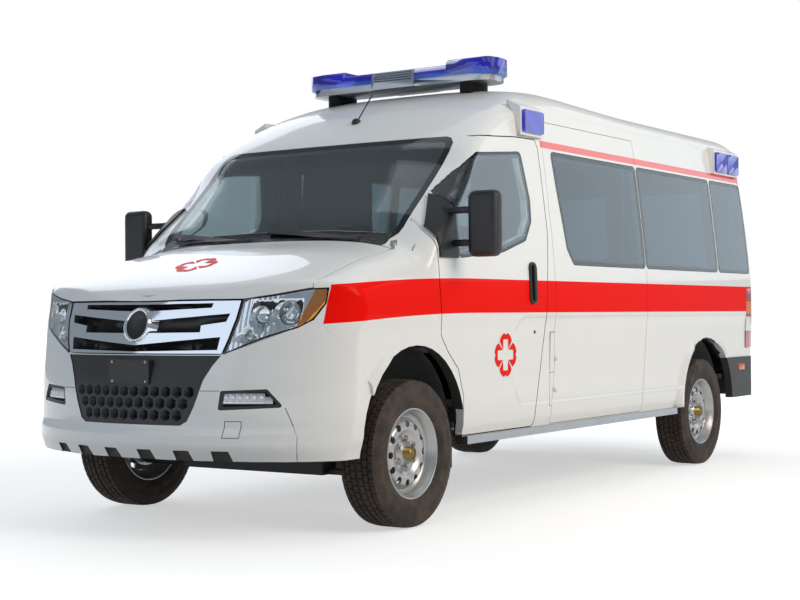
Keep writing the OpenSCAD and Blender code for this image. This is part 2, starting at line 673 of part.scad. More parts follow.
// Upper grille: bars left between slots, with a bare round boss in the middle
// Slots of the upper grille, left half: [x / half width, z / roof height]
slot_shares = [
    [[0, 0.4627], [0.405, 0.4635], [0.400, 0.4545], [0, 0.4480]],
    [[0, 0.4270], [0.500, 0.4430], [0.488, 0.4270], [0.365, 0.4200], [0.365, 0.4065], [0, 0.4050]],
    [[0, 0.3815], [0.470, 0.3975], [0.462, 0.3725], [0, 0.3690]]];
slot_depth = 46;
boss_r = 79.5;
boss_rim = 12;
boss_out = 12;
boss_share = 0.422;
module boss_outline(r) translate([0, h_of(boss_share)]) circle(r);
module upper_grille() color(steel) {
    difference() {
        intersection() {
            skin(0, lamp_depth);
            nose_prism() offset(delta = -seat_gap) grille_outline(upper_grille_shares);
        }
        down_to(slot_depth) nose_prism() for (t = slot_shares) grille_outline(t);
    }
    difference() {
        intersection() {
            skin(-boss_out, slot_depth + seam_gap);
            nose_prism() boss_outline(boss_r);
        }
        down_to(-boss_out / 3) nose_prism() boss_outline(boss_r - boss_rim);
    }
}
// Lower grille: a closed panel with rows of six-sided cells: [z / roof height, cells in the row]
cell_shares = [[0.2460, 10], [0.2688, 11], [0.2915, 12]];
cell_pitch = 62;
cell_r = 29;
cell_depth = 40;
module cells() for (c = cell_shares, i = [0 : c[1] - 1])
    translate([(i - (c[1] - 1) / 2) * cell_pitch, h_of(c[0])]) rotate(30) circle(cell_r, $fn = 6);
module lower_grille() color(black) difference() {
    intersection() {
        skin(seam_gap, lamp_depth);
        nose_prism() offset(delta = -seat_gap) grille_outline(lower_grille_shares);
    }
    down_to(cell_depth) nose_prism() cells();
}

// Carrier for a number plate, upright in front of the leaning nose
plate_w = 250;
plate_h = 112;
plate_t = 4;
plate_bolt_x = 210;
plate_bolt_z = 90;
plate_bolt_r = 3.5;
plate_z = h_of((plan_shares[5][0] + plan_shares[6][0]) / 2);
// Nose line behind the carrier: y at a height between two plan levels
function nose_y(z) = y_of(-lookup(z, [for (p = plan_shares) [h_of(p[0]), p[1]]])) + seam_gap - seat_gap;
plate_front = nose_y(plate_z - plate_h / 2) - plate_t;
module plate_carrier() color(black) difference() {
    side_prism(-plate_w / 2, plate_w / 2) polygon([
        [plate_front, plate_z - plate_h / 2], [nose_y(plate_z - plate_h / 2), plate_z - plate_h / 2],
        [nose_y(plate_z + plate_h / 2), plate_z + plate_h / 2], [plate_front, plate_z + plate_h / 2]]);
    for (x = [-1, 1], z = [-1, 1])
        translate([x * plate_bolt_x / 2, plate_front + 2 * overrun, plate_z + z * plate_bolt_z / 2])
            rotate([90, 0, 0]) cylinder(r = plate_bolt_r, h = 3 * overrun);
}

// Floor, ladder frame and what hangs from it
floor_h = 600;
floor_t = 40;
floor_front = 150;
rail_x = 420;
rail_w = 80;
rail_h = 120;
rail_low = floor_h - floor_t - rail_h - seat_gap;
liner_t = 14;
liner_in = 560;
cross_w = 90;
// Places of the frame's cross members behind the front axle, as shares of the tail
cross_shares = [0.20, 0.42, 0.60, 0.94];
module at_x(x) both_sides() translate([x, 0, 0]) children();
module wells(grow) both_sides() side_prism(liner_in - grow, half_w + overrun) {
    front_arch(grow + clear_share * arch_front_r);
    rear_arch(grow + clear_share * arch_front_r);
}
// What a cut with flat facets adds to stay clear of a true round, as a share of its radius
clear_share = 1 / cos(180 / $fn) - 1;
module floor_pan() color(dark) difference() {
    intersection() {
        body_solid(wall + seat_gap);
        translate([-half_w, at(floor_front), floor_h - floor_t])
            cube([body_w, tail_l - floor_front, floor_t]);
    }
    wells(liner_t + seat_gap);
}
module chassis_frame() color(black) {
    at_x(rail_x) translate([-rail_w / 2, at(-rail_front), rail_low])
        cube([rail_w, rail_front + tail_l - rail_end, rail_h]);
    for (c = cross_shares) translate([-rail_x, at(c * tail_l), rail_low + (rail_h - cross_w) / 2])
        cube([2 * rail_x, cross_w, cross_w]);
    translate([-rail_x - rail_w / 2, at(-rail_front), rail_low])
        cube([2 * rail_x + rail_w, cross_w, radiator_h]);
}
// Rails' front end ahead of the front axle and rear end ahead of the tail, and the radiator panel's height
rail_front = 740;
rail_end = 110;
radiator_h = 560;
module arch_liners() color(black) both_sides() difference() {
    side_prism(liner_in - liner_t, half_w * liner_share) {
        intersection() { union() { front_arch(liner_t); rear_arch(liner_t); } liner_clip(); }
    }
    side_prism(liner_in, half_w + overrun) { front_arch(); rear_arch(); }
    translate([liner_in - 2 * liner_t, front_axle_y - arm_slot_w, 0])
        cube([4 * liner_t, 2 * arm_slot_w, upper_arm_h + arm_slot_w]);
}
arm_slot_w = 90;
// Outer edge of the liners, as a share of the half width
liner_share = 0.88;
module liner_clip() translate([-length / 2, sill_h]) square([length, roof_h]);

// Bars and plates below and behind
sill_trim_w = 70;
sill_trim_h = 42;
sill_trim_in = 30;
module sill_trims() color(steel) at_x(half_w - sill_trim_w - sill_trim_in)
    translate([0, front_axle_y + arch_front_r + wall / 2, sill_h - sill_trim_h - seat_gap])
        cube([sill_trim_w, wheelbase - arch_front_r - arch_rear_r - wall, sill_trim_h]);
flap_w = 230;
flap_t = 12;
flap_low = 250;
flap_top = 470;
module flap(y) translate([half_w - flap_w - flap_in, y, flap_low])
    cube([flap_w, flap_t, flap_top - flap_low]);
flap_in = 114;
module mud_flaps() color(black) both_sides() {
    flap(front_axle_y + arch_front_r - arch_back / 3 + liner_t + seat_gap);
    flap(rear_axle_y + arch_rear_r + arch_back / 3 + liner_t + seat_gap);
}
rear_bumper_low = 432;
rear_bumper_t = 52;
rear_bumper_r = 120;
module rear_bumper_plan(d) offset(rear_bumper_r - d) offset(-rear_bumper_r)
    translate([-half_w + bumper_in, 0]) square([2 * (half_w - bumper_in), length / 2]);
bumper_in = 4;
module rear_bumper() color(dark) difference() {
    translate([0, 0, rear_bumper_low]) linear_extrude(rear_bumper_top - rear_bumper_low) difference() {
        rear_bumper_plan(0);
        offset(delta = -rear_bumper_t) rear_bumper_plan(0);
        translate([-half_w, -length]) square([body_w, length + rear_axle_y]);
    }
    side_prism(-half_w - overrun, half_w + overrun) rear_arch(liner_t + seat_gap);
}
tail_lamp_h = 420;
tail_lamp_w = 96;
tail_lamp_low = 780;
tail_lamp_d = 24;
module tail_lamp_outline() rounded(door_r) polygon(in_box(box_shares,
    [half_w - tail_lamp_w, tail_lamp_low], [half_w + overrun, tail_lamp_low + tail_lamp_h]));
module tail_lamps() color([0.7, 0.05, 0.05]) both_sides() intersection() {
    skin(0, tail_lamp_d);
    tail_lamp_prism(0);
}
module tail_lamp_prism(grow) front_prism(at(tail_l - 2 * tail_lamp_w) - grow, at(tail_l + overrun))
    offset(delta = grow) tail_lamp_outline();

// Light bar across the roof
bar_lift = 12;
bar_low = roof_h + bar_lift;
bar_base_h = 36;
bar_step_x = 372;
bar_step_h = 26;
bar_mid_w = 300;
bar_foot_x = 470;
bar_foot_w = 70;
bar_round = 40;
module bar_profile(h) translate([at(bar_y), bar_low]) hull() {
    translate([-bar_d / 2, 0]) square([bar_d, h / 2]);
    at2(bar_d / 2 - bar_round) translate([0, h - bar_round]) circle(bar_round, $fn = 24);
}
module at2(d) for (i = [-1, 1]) translate([i * d, 0]) children();
// Plan of the light bar, set in by d
bar_corner = 115;
module bar_plan(d) translate([0, at(bar_y), bar_low - overrun]) linear_extrude(bar_h + 2 * overrun)
    rounded(bar_corner - d) square([bar_l - 2 * d, bar_d - 2 * d], center = true);
module bar_run(x0, x1, h) side_prism(x0, x1) difference() {
    bar_profile(h);
    translate([-length, 0]) square([2 * length, bar_low + bar_base_h + seat_gap]);
}
// Slats of the speaker in the middle
slat_n = 4;
slat_pitch = 14;
slat_h = 7;
slat_depth = 16;
slat_inset = 18;
module light_bar() color(steel) {
    intersection() {
        side_prism(-bar_l / 2, bar_l / 2) intersection() {
            bar_profile(bar_h);
            translate([-length, 0]) square([2 * length, bar_low + bar_base_h]);
        }
        bar_plan(bar_round / 2);
    }
    difference() {
        side_prism(-bar_mid_w / 2, bar_mid_w / 2) bar_profile(bar_h - bar_step_h);
        for (i = [0 : slat_n - 1]) translate([slat_inset - bar_mid_w / 2, at(bar_y) - bar_d / 2 - overrun,
            bar_low + bar_base_h + (i + 1) * slat_pitch - slat_h])
            cube([bar_mid_w - 2 * slat_inset, overrun + slat_depth, slat_h]);
    }
    difference() {
        at_x(bar_foot_x) translate([-bar_foot_w / 2, at(bar_y) - bar_d / 3, roof_seam_h])
            cube([bar_foot_w, 2 * bar_d / 3, bar_low - roof_seam_h]);
        body_solid(-seat_gap);
    }
}
module light_bar_lenses() color(blue) intersection() {
    both_sides() {
        bar_run(bar_mid_w / 2 + seat_gap, bar_step_x, bar_h - bar_step_h);
        bar_run(bar_step_x, bar_l / 2, bar_h);
    }
    bar_plan(0);
}
// Beacons on the sides: [front end, rear end, low / roof height, top / roof height, lenses]
beacon_shares = [[0.801, 0.988, 0.8551, 0.9216, 1], [1.8005, 1.9453, 0.8492, 0.9216, 2]];
// Outer face and inner face of a beacon's housing, as shares of the half width
beacon_out_share = 0.936;
beacon_in_share = 0.850;
beacon_rise = 40;
beacon_rim = 17;
beacon_r = 14;
beacon_lens_t = 15;
module side_beacons() color(white) both_sides() for (b = beacon_shares) difference() {
    front_prism(y_of(b[0]), y_of(b[1])) polygon([
        [half_w * beacon_in_share, h_of(b[2])], [half_w * beacon_out_share, h_of(b[2])],
        [half_w * beacon_out_share, h_of(b[3])], [half_w * beacon_in_share, h_of(b[3]) + beacon_rise]]);
    body_solid(-seat_gap);
}
module beacon_lenses() color(blue) both_sides() for (b = beacon_shares, i = [0 : b[4] - 1]) {
    lens_l = (y_of(b[1]) - y_of(b[0]) - beacon_rim) / b[4];
    side_prism(half_w * beacon_out_share + seat_gap, half_w * beacon_out_share + beacon_lens_t)
        rounded(beacon_r) translate([y_of(b[0]) + beacon_rim + i * lens_l, h_of(b[2]) + beacon_rim])
            square([lens_l - beacon_rim, h_of(b[3]) - h_of(b[2]) - 2 * beacon_rim]);
}

// Cab: firewall with dashboard and steering column, seats and bulkhead
// Dashboard in side view, above the foot of the firewall
dash_shares = [
    [0.1487, 0.38], [0.4203, 0.40], [0.4720, 0.50], [0.3879, 0.552], [0.2263, 0.574], [0.1067, 0.558]];
dash_foot_shares = [0.1067, 0.1487];
column_support_w = 70;
column_support_y = 560;
column_support_l = 90;
column_support_h = 120;
column_r = 20;
column_l = 330;
column_tilt = 50;
wheel_d = 400;
wheel_grip_r = 15;
wheel_x = 420;
wheel_y = 800;
wheel_h = 1120;
wheel_hub_r = 55;
wheel_hub_h = 40;
pin_r = 12;
module on_column() translate([wheel_x, at(wheel_y), wheel_h]) rotate([column_tilt - 90, 0, 0]) children();
module dash_outline() polygon(concat(
    [for (f = dash_foot_shares) [y_of(f), floor_h + seat_gap]], in_side(dash_shares)));
module dashboard() color(dark) {
    difference() {
        intersection() {
            body_solid(wall + seat_gap);
            side_prism(-half_w, half_w) dash_outline();
        }
        wells(liner_t + seat_gap);
    }
    translate([wheel_x - column_support_w / 2, at(column_support_y),
        h_of(dash_shares[1][1]) - column_support_h / 2])
        cube([column_support_w, column_support_l, column_support_h]);
    difference() {
        on_column() {
            translate([0, 0, -column_l]) cylinder(r = column_r, h = column_l - wheel_hub_h / 2 - seat_gap);
            translate([0, 0, -column_l]) cylinder(r = pin_r, h = column_l + wheel_hub_h / 4);
        }
        side_prism(-half_w, half_w) offset(delta = seat_gap) dash_outline();
    }
}
module steering_wheel() color(black) on_column() difference() {
    union() {
        rotate_extrude() translate([wheel_d / 2 - wheel_grip_r, 0]) circle(wheel_grip_r, $fn = 24);
        translate([0, 0, -wheel_hub_h / 2]) cylinder(r = wheel_hub_r, h = wheel_hub_h);
        for (a = [0, 120, 240]) rotate([0, 0, a - 90]) translate([0, -wheel_grip_r, -wheel_grip_r / 2])
            cube([wheel_d / 2 - wheel_grip_r, 2 * wheel_grip_r, wheel_grip_r]);
    }
    translate([0, 0, -wheel_hub_h])
        cylinder(r = pin_r + seat_gap, h = wheel_hub_h + wheel_hub_h / 4 + seat_gap);
}
seat_x = 430;
seat_w = 500;
seat_front = 860;
seat_l = 500;
seat_h = 880;
seat_pad = 130;
seat_back_h = 620;
seat_back_t = 120;
seat_lean = 12;
head_w = 260;
head_h = 180;
seat_r = 30;
module pad(size) translate([-size[0] / 2, 0, 0]) hull()
    for (x = [seat_r, size[0] - seat_r], z = [seat_r, size[2] - seat_r])
        translate([x, 0, z]) rotate([-90, 0, 0]) cylinder(r = seat_r, h = size[1], $fn = 16);
module front_seats() color(dark) at_x(seat_x) translate([0, at(seat_front), 0]) {
    translate([-seat_w / 3, seat_r, floor_h + seat_gap])
        cube([2 * seat_w / 3, seat_l - 2 * seat_r, seat_h - seat_pad - floor_h]);
    translate([0, 0, seat_h - seat_pad]) pad([seat_w, seat_l, seat_pad]);
    translate([0, seat_l - seat_back_t, seat_h - seat_pad / 2]) rotate([-seat_lean, 0, 0]) {
        pad([seat_w, seat_back_t, seat_back_h]);
        translate([0, seat_back_t / 8, seat_back_h - seat_r]) pad([head_w, 3 * seat_back_t / 4, head_h]);
    }
}
bulkhead_y = 1520;
bulkhead_t = 24;
bulkhead_window_w = 700;
bulkhead_window_h = 420;
bulkhead_window_low = 1440;
module bulkhead() color([0.75, 0.76, 0.78]) difference() {
    intersection() {
        body_solid(wall + seat_gap);
        translate([-half_w, at(bulkhead_y), floor_h + seat_gap]) cube([body_w, bulkhead_t, roof_h]);
    }
    translate([-bulkhead_window_w / 2, at(bulkhead_y - overrun), bulkhead_window_low])
        cube([bulkhead_window_w, bulkhead_t + 2 * overrun, bulkhead_window_h]);
}

// Running gear
engine_w = 520;
engine_l = 640;
engine_h = 520;
engine_front = 540;
module engine() color(dark) translate([-engine_w / 2, at(-engine_front), rail_low])
    cube([engine_w, engine_l, engine_h]);
king_x = 770;
arm_t = 26;
arm_w = 56;
lower_arm_h = 236;
upper_arm_h = 468;
subframe_w = 160;
post_w = 50;
post_l = 60;
pin_l = 30;
stub_end = 925;
steer_arm_l = 120;
module front_axle() color(black) {
    translate([-rail_x - rail_w / 2, front_axle_y - subframe_w / 2, lower_arm_h])
        cube([2 * rail_x + rail_w, subframe_w, rail_low - lower_arm_h - seat_gap]);
    both_sides() translate([0, front_axle_y, 0]) {
        translate([rail_x, -arm_w / 2, lower_arm_h]) cube([king_x - rail_x, arm_w, arm_t]);
        translate([king_x, 0, lower_arm_h]) cylinder(r = arm_w / 2, h = arm_t);
        translate([king_x, 0, lower_arm_h]) cylinder(r = pin_r, h = arm_t + pin_l);
        translate([rail_x + rail_w / 2 + seat_gap, -arm_w / 2, upper_arm_h])
            cube([king_x - rail_x - rail_w / 2, arm_w, arm_t]);
        translate([king_x, 0, upper_arm_h]) cylinder(r = arm_w / 2, h = arm_t);
        translate([king_x, 0, upper_arm_h - pin_l]) cylinder(r = pin_r, h = arm_t + pin_l);
    }
}
module stub() translate([king_x, 0, hub_h]) rotate([0, 90, 0]) cylinder(r = stub_r, h = stub_end - king_x);
module knuckle() translate([0, front_axle_y, 0]) {
    difference() {
        translate([king_x - post_w / 2, -post_l / 2, lower_arm_h + arm_t + seat_gap])
            cube([post_w, post_l, upper_arm_h - lower_arm_h - arm_t - 2 * seat_gap]);
        translate([king_x, 0, lower_arm_h]) cylinder(r = pin_r + seat_gap, h = arm_t + pin_l + 2 * seat_gap);
        translate([king_x, 0, upper_arm_h - pin_l - 2 * seat_gap])
            cylinder(r = pin_r + seat_gap, h = arm_t + pin_l);
    }
    stub();
    translate([king_x - post_w / 2, 0, hub_h - arm_t / 2])
        cube([post_w / 2, post_l / 2 + steer_arm_l, arm_t]);
}
module knuckle_left() color(dark) knuckle();
module knuckle_right() color(dark) mirror([1, 0, 0]) knuckle();
axle_r = 42;
diff_r = 150;
diff_l = 240;
plate_r = 140;
drum_plate_t = 16;
plate_x = 776;
spring_half_l = 620;
spring_rise = 100;
spring_t = 24;
spring_w = 70;
shaft_r = 35;
shaft_l = 2500;
// Height of the springs' eyes
spring_eye_h = hub_h - axle_r + spring_rise - 2 * spring_t;
module spring_outline() polygon(concat(
    [for (i = [-6 : 6]) [i / 6 * spring_half_l, hub_h - axle_r - spring_t + spring_rise * i * i / 36]],
    [for (i = [6 : -1 : -6]) [i / 6 * spring_half_l, hub_h - axle_r + spring_rise * i * i / 36]]));
module rear_axle() color(black) translate([0, rear_axle_y, 0]) {
    translate([-plate_x, 0, hub_h]) rotate([0, 90, 0]) cylinder(r = axle_r, h = 2 * plate_x);
    translate([0, 0, hub_h]) rotate([0, 90, 0]) cylinder(r = diff_r / 2, h = 2 * diff_l, center = true);
    translate([-diff_r / 2, -diff_r, hub_h - diff_r / 2]) cube([diff_r, 2 * diff_r, diff_r]);
    translate([0, 0, hub_h]) rotate([90, 0, 0]) cylinder(r = shaft_r, h = shaft_l);
    both_sides() {
        stub();
        translate([plate_x, 0, hub_h]) rotate([0, 90, 0]) cylinder(r = plate_r, h = drum_plate_t);
        side_prism(rail_x - spring_w / 2, rail_x + spring_w / 2) spring_outline();
        for (i = [-1, 1]) translate([rail_x - spring_w / 2, i * spring_half_l - spring_t, spring_eye_h])
            cube([spring_w, 2 * spring_t, rail_low - spring_eye_h - seat_gap]);
    }
}
tank_x = 480;
tank_w = 320;
tank_front = 1180;
tank_l = 800;
tank_h = 210;
module fuel_tank() color(black) translate([tank_x, at(tank_front), floor_h - floor_t - tank_h - seat_gap])
    cube([tank_w, tank_l, tank_h]);
pipe_r = 28;
muffler_r = 85;
muffler_l = 700;
exhaust_x = -230;
exhaust_h = 365;
exhaust_front = 300;
exhaust_l = 2600;
// Muffler's middle behind the pipe's front end, under a cross member
muffler_at = cross_shares[1] * tail_l - exhaust_front;
module exhaust() color(steel) translate([exhaust_x, at(exhaust_front), exhaust_h]) {
    rotate([-90, 0, 0]) cylinder(r = pipe_r, h = exhaust_l);
    translate([0, muffler_at - muffler_l / 2, 0]) rotate([-90, 0, 0])
        cylinder(r = muffler_r, h = muffler_l);
    translate([-pipe_r, muffler_at, 0])
        cube([2 * pipe_r, cross_w, rail_low + (rail_h - cross_w) / 2 - exhaust_h - seat_gap]);
}

// Wheels, about their own axis with +Z outwards
rim_w = 178;
rim_t = 8;
seat_drop = 14;
well_drop = 38;
// Rim section from one flange over the well to the other: [drop / well drop, across / half rim width]
rim_shares = [[0, 1], [0, 0.9], [0.37, 0.85], [0.37, 0.45], [1, 0.22],
    [1, -0.43], [0.37, -0.56], [0.37, -0.85], [0, -0.9], [0, -1]];
function rim_line(d) = [for (p = rim_shares) [rim_d / 2 - d - p[0] * well_drop, p[1] * rim_w / 2]];
function backwards(p) = [for (i = [len(p) - 1 : -1 : 0]) p[i]];
disc_r = rim_d / 2 - well_drop - rim_t / 2;
// Wheel disc section: [radius / disc radius, height / half rim width]
disc_shares = [[1, 0.19], [0.86, 0.62], [0.68, 0.66], [0.52, 0.42], [0.30, 0.40]];
disc_t = 9;
hole_r = 17;
hole_n = 12;
hole_at_share = 0.80;
hub_r = 60;
hub_in = 57;
hub_out = 48;
cap_r = 33;
cap_out = 86;
drum_r = 140;
drum_l = 50;
nut_r = 13;
nut_l = 16;
nut_n = 6;
nut_at_share = 0.42;
module rim() difference() {
    union() {
        rotate_extrude() polygon(concat(rim_line(0), backwards(rim_line(rim_t))));
        rotate_extrude() polygon(concat([for (p = disc_shares) [p[0] * disc_r, p[1] * rim_w / 2]],
            backwards([for (p = disc_shares) [p[0] * disc_r, p[1] * rim_w / 2 - disc_t]])));
        translate([0, 0, -hub_in]) cylinder(r = hub_r, h = hub_in + hub_out);
        translate([0, 0, -hub_in]) cylinder(r = cap_r, h = hub_in + cap_out);
        translate([0, 0, -hub_in]) cylinder(r = drum_r, h = drum_l);
        for (i = [0 : nut_n - 1]) rotate([0, 0, i * 360 / nut_n])
            translate([nut_at_share * disc_r, 0, disc_shares[3][1] * rim_w / 2 - disc_t])
                cylinder(r = nut_r, h = nut_l + disc_t, $fn = 6);
    }
    translate([0, 0, -hub_in - overrun]) cylinder(
        r = stub_r + seat_gap, h = hub_in + overrun + stub_end - track / 2 + 2 * seat_gap);
    for (i = [0 : hole_n - 1]) rotate([0, 0, i * 360 / hole_n]) translate([hole_at_share * disc_r, 0, 0])
        cylinder(r = hole_r, h = rim_w);
}
// Half of the tyre's section: [height / section height, across / half width]
tyre_shares = [
    [0, 0.52], [0, 0.70], [0.096, 0.735], [0.098, 0.83], [0.30, 0.97], [0.51, 1], [0.74, 0.96],
    [0.88, 0.88], [0.96, 0.76], [1, 0.58], [1, 0.455], [0.948, 0.445], [0.948, 0.395], [1, 0.385],
    [1, 0.175], [0.948, 0.165], [0.948, 0.115], [1, 0.105]];
tyre_in_shares = [[0.90, 0.55], [0.82, 0.78], [0.52, 0.88], [0.18, 0.76]];
bead_r = rim_d / 2 - rim_shares[2][0] * well_drop + seat_gap;
function tyre_line(shares) = [for (p = shares) [bead_r + p[0] * (tyre_d / 2 - bead_r), p[1] * tyre_w / 2]];
function low_side(p) = [for (i = [len(p) - 1 : -1 : 0]) [p[i][0], -p[i][1]]];
module tyre() rotate_extrude() polygon(concat(tyre_line(tyre_shares), low_side(tyre_line(tyre_shares)),
    low_side(tyre_line(tyre_in_shares)), tyre_line(tyre_in_shares)));
module wheel_at(y) translate([track / 2, y, hub_h]) rotate([0, 90, 0]) children();
module rim_front_left() color(steel) wheel_at(front_axle_y) rim();
module rim_front_right() color(steel) mirror([1, 0, 0]) wheel_at(front_axle_y) rim();
module rim_rear_left() color(steel) wheel_at(rear_axle_y) rim();
module rim_rear_right() color(steel) mirror([1, 0, 0]) wheel_at(rear_axle_y) rim();
module tyre_front_left() color(black) wheel_at(front_axle_y) tyre();
module tyre_front_right() color(black) mirror([1, 0, 0]) wheel_at(front_axle_y) tyre();
module tyre_rear_left() color(black) wheel_at(rear_axle_y) tyre();
module tyre_rear_right() color(black) mirror([1, 0, 0]) wheel_at(rear_axle_y) tyre();

// Scuttle with wipers, aerial, and the fittings of a front door
wiper_w = 24;
wiper_l = 620;
wiper_tilt = 6;
wiper_lift = 18;
// Spindles of the wipers, as shares of the half width
wiper_shares = [0.60, -0.10];
module wiper_line(x) translate([x, screen_low + wiper_w / 2]) rotate(180 - wiper_tilt)
    translate([0, -wiper_w / 2]) square([wiper_l, wiper_w]);
module wipers() color(black) {
    difference() {
        intersection() { skin(0, wall); scuttle_region(0); }
        pane_cut() screen_prism(seam_gap);
        screen_prism(-glass_lap);
        bonnet_prism(shut_gap);
    }
    intersection() {
        skin(-wiper_lift, -shut_gap);
        front_prism(at(bonnet_rear + shut_gap), at(screen_rear))
            for (w = wiper_shares) wiper_line(w * half_w);
    }
    difference() {
        intersection() {
            skin(-wiper_lift, wall / 2);
            front_prism(at(bonnet_rear + shut_gap), at(scuttle_rear)) for (w = wiper_shares)
                translate([w * half_w, screen_low + wiper_w / 2]) circle(wiper_w, $fn = 24);
            scuttle_region(0);
        }
        screen_prism(seam_gap);
    }
}
// Foot of the aerial, as a share of the cab
aerial_share = 0.632;
aerial_r = 4;
aerial_l = 240;
aerial_base_r = 28;
aerial_tilt = 42;
// Height of the roof's crown at a share along the body
function crown(s) = h_of(lookup(s, [for (p = section_shares) [p[0], p[2]]]));
module roof_aerial() color(black) difference() {
    translate([0, y_of(aerial_share), crown(aerial_share)]) {
        sphere(aerial_base_r, $fn = 16);
        rotate([-aerial_tilt, 0, 0]) cylinder(r = aerial_r, h = aerial_l, $fn = 16);
    }
    body_solid(-seat_gap);
}
mirror_x = 1085;
mirror_w = 170;
mirror_h = 330;
mirror_d = 90;
mirror_y = 330;
mirror_low = 1318;
mirror_r = 40;
mirror_arm = 34;
// Inner ends of the mirror's arms, as a share of the half width
mirror_root_share = 0.9;
// Black corner of the door in front of its glass, as shares of the door
corner_shares = [[0.008, 1.007], [0.158, 1.007], [0.158, 1.478], [0.008, 1.217]];
handle_y = 1125;
handle_low = 1085;
handle_h = 230;
handle_w = 76;
handle_out = 26;
module door_fittings() {
    intersection() {
        skin(-panel_t / 2, -seat_gap);
        flank_prism() polygon(in_door(corner_shares));
    }
    difference() {
        for (z = [mirror_low + mirror_h / 6, mirror_low + 4 * mirror_h / 6])
            translate([half_w * mirror_root_share, at(mirror_y) - mirror_arm / 2, z])
                cube([mirror_x - half_w * mirror_root_share + mirror_r, mirror_arm, mirror_arm]);
        body_solid(-seat_gap);
    }
    translate([mirror_x, at(mirror_y) - mirror_d / 2, mirror_low]) hull()
        for (x = [mirror_r, mirror_w - mirror_r], z = [mirror_r, mirror_h - mirror_r])
            translate([x, 0, z]) rotate([-90, 0, 0]) cylinder(r = mirror_r, h = mirror_d, $fn = 24);
    handle(handle_y, -seat_gap);
}
// Upright handle on a flank, rooted at a depth under the skin
module handle(y, root) intersection() {
    skin(-handle_out, root);
    flank_prism() translate([at(y), handle_low]) hull() {
        translate([0, handle_w / 2]) circle(handle_w / 2, $fn = 24);
        translate([0, handle_h - handle_w / 2]) circle(handle_w / 2, $fn = 24);
    }
}
module door_fittings_left() color(black) door_fittings();
module door_fittings_right() color(black) mirror([1, 0, 0]) door_fittings();

left_side();
right_side();
roof_panel();
floor_pan();
chassis_frame();
front_wings();
front_bumper();
upper_grille();
lower_grille();
plate_carrier();
headlamps();
headlamp_lenses();
fog_lamps();
windscreen();
mid_panel();
sliding_door();
side_windows();
rear_bumper();
tail_lamps();
light_bar();
light_bar_lenses();
side_beacons();
beacon_lenses();
sill_trims();
mud_flaps();
arch_liners();
dashboard();
front_seats();
bulkhead();
engine();
front_axle();
rear_axle();
fuel_tank();
exhaust();
wipers();
roof_aerial();
bonnet();
steering_wheel();
knuckle_left();
knuckle_right();
front_door_left();
front_door_right();
door_glass_left();
door_glass_right();
door_fittings_left();
door_fittings_right();
rear_door_left();
rear_door_right();
rear_glass_left();
rear_glass_right();
rim_front_left();
rim_front_right();
rim_rear_left();
rim_rear_right();
tyre_front_left();
tyre_front_right();
tyre_rear_left();
tyre_rear_right();
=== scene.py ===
"""Looks of the van ambulance: smooth panels, glass, lamps, trim, seats and wheels on the CAD frame."""

import json
import math

import bmesh
import bpy
import numpy as np
from mathutils import Matrix, Vector, kdtree
from mathutils.bvhtree import BVHTree


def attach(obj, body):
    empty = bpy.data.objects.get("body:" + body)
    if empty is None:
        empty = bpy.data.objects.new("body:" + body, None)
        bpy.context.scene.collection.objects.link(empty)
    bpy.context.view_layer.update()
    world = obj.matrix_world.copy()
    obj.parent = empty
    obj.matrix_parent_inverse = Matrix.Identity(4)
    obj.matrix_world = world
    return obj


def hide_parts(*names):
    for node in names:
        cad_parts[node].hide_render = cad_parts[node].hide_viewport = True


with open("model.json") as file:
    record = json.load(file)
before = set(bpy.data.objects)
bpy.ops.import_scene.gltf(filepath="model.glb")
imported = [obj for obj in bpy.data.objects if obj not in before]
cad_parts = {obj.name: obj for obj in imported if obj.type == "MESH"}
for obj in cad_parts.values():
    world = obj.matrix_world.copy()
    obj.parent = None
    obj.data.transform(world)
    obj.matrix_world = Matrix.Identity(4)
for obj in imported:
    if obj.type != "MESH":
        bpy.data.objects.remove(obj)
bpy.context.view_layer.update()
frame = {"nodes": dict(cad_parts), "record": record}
NODES = frame["nodes"]
BODY_OF = {n: b for b, members in frame["record"]["behaviour"]["bodies"].items() for n in members}

# Body form, as in the part's source: metres, and tables in shares
ROOF_H = 2.36
COWL_H = 1.411
COWL_SHARE = 0.598
HALF_W = 1.0
OVERHANG = 1.0
CAB_L = 1.392
TAIL_L = 4.5
FRONT_AXLE = -1.75
REAR_AXLE = 1.83
HUB_H = 0.36
TRACK_HALF = 0.86
# Sections along the body: share along it, shoulder height, crown height, squareness
SECTION_SHARES = [
    (-1.1, .400, .462, 4.0), (-.865, .405, .470, 4.0), (-.8, .415, .494, 3.8), (-.7, .424, .514, 3.6),
    (-.5, .440, .544, 3.5), (-.25, .448, .576, 3.5), (0, .468, .598, 3.4), (.0453, .480, .606, 3.2),
    (.1455, .572, .660, 3), (.2586, .636, .720, 3), (.3718, .704, .781, 3), (.4784, .786, .842, 3),
    (.5754, .830, .882, 3), (.7177, .868, .930, 3), (.8631, .894, .967, 3), (1.0024, .914, .990, 3),
    (1.0878, .918, 1.0, 3), (1.2471, .919, .993, 3), (1.4208, .919, .986, 3), (1.8986, .919, .984, 3),
    (1.9595, .908, .972, 3), (1.9884, .890, .950, 3), (2.0434, .880, .940, 3)]
# Half width up the side: height, width
SIDE_SHARES = [
    (.130, .950), (.170, .962), (.200, .980), (.400, .989), (.440, 1.0), (.490, 1.0),
    (.580, .986), (.700, .957), (.820, .923), (.930, .886)]
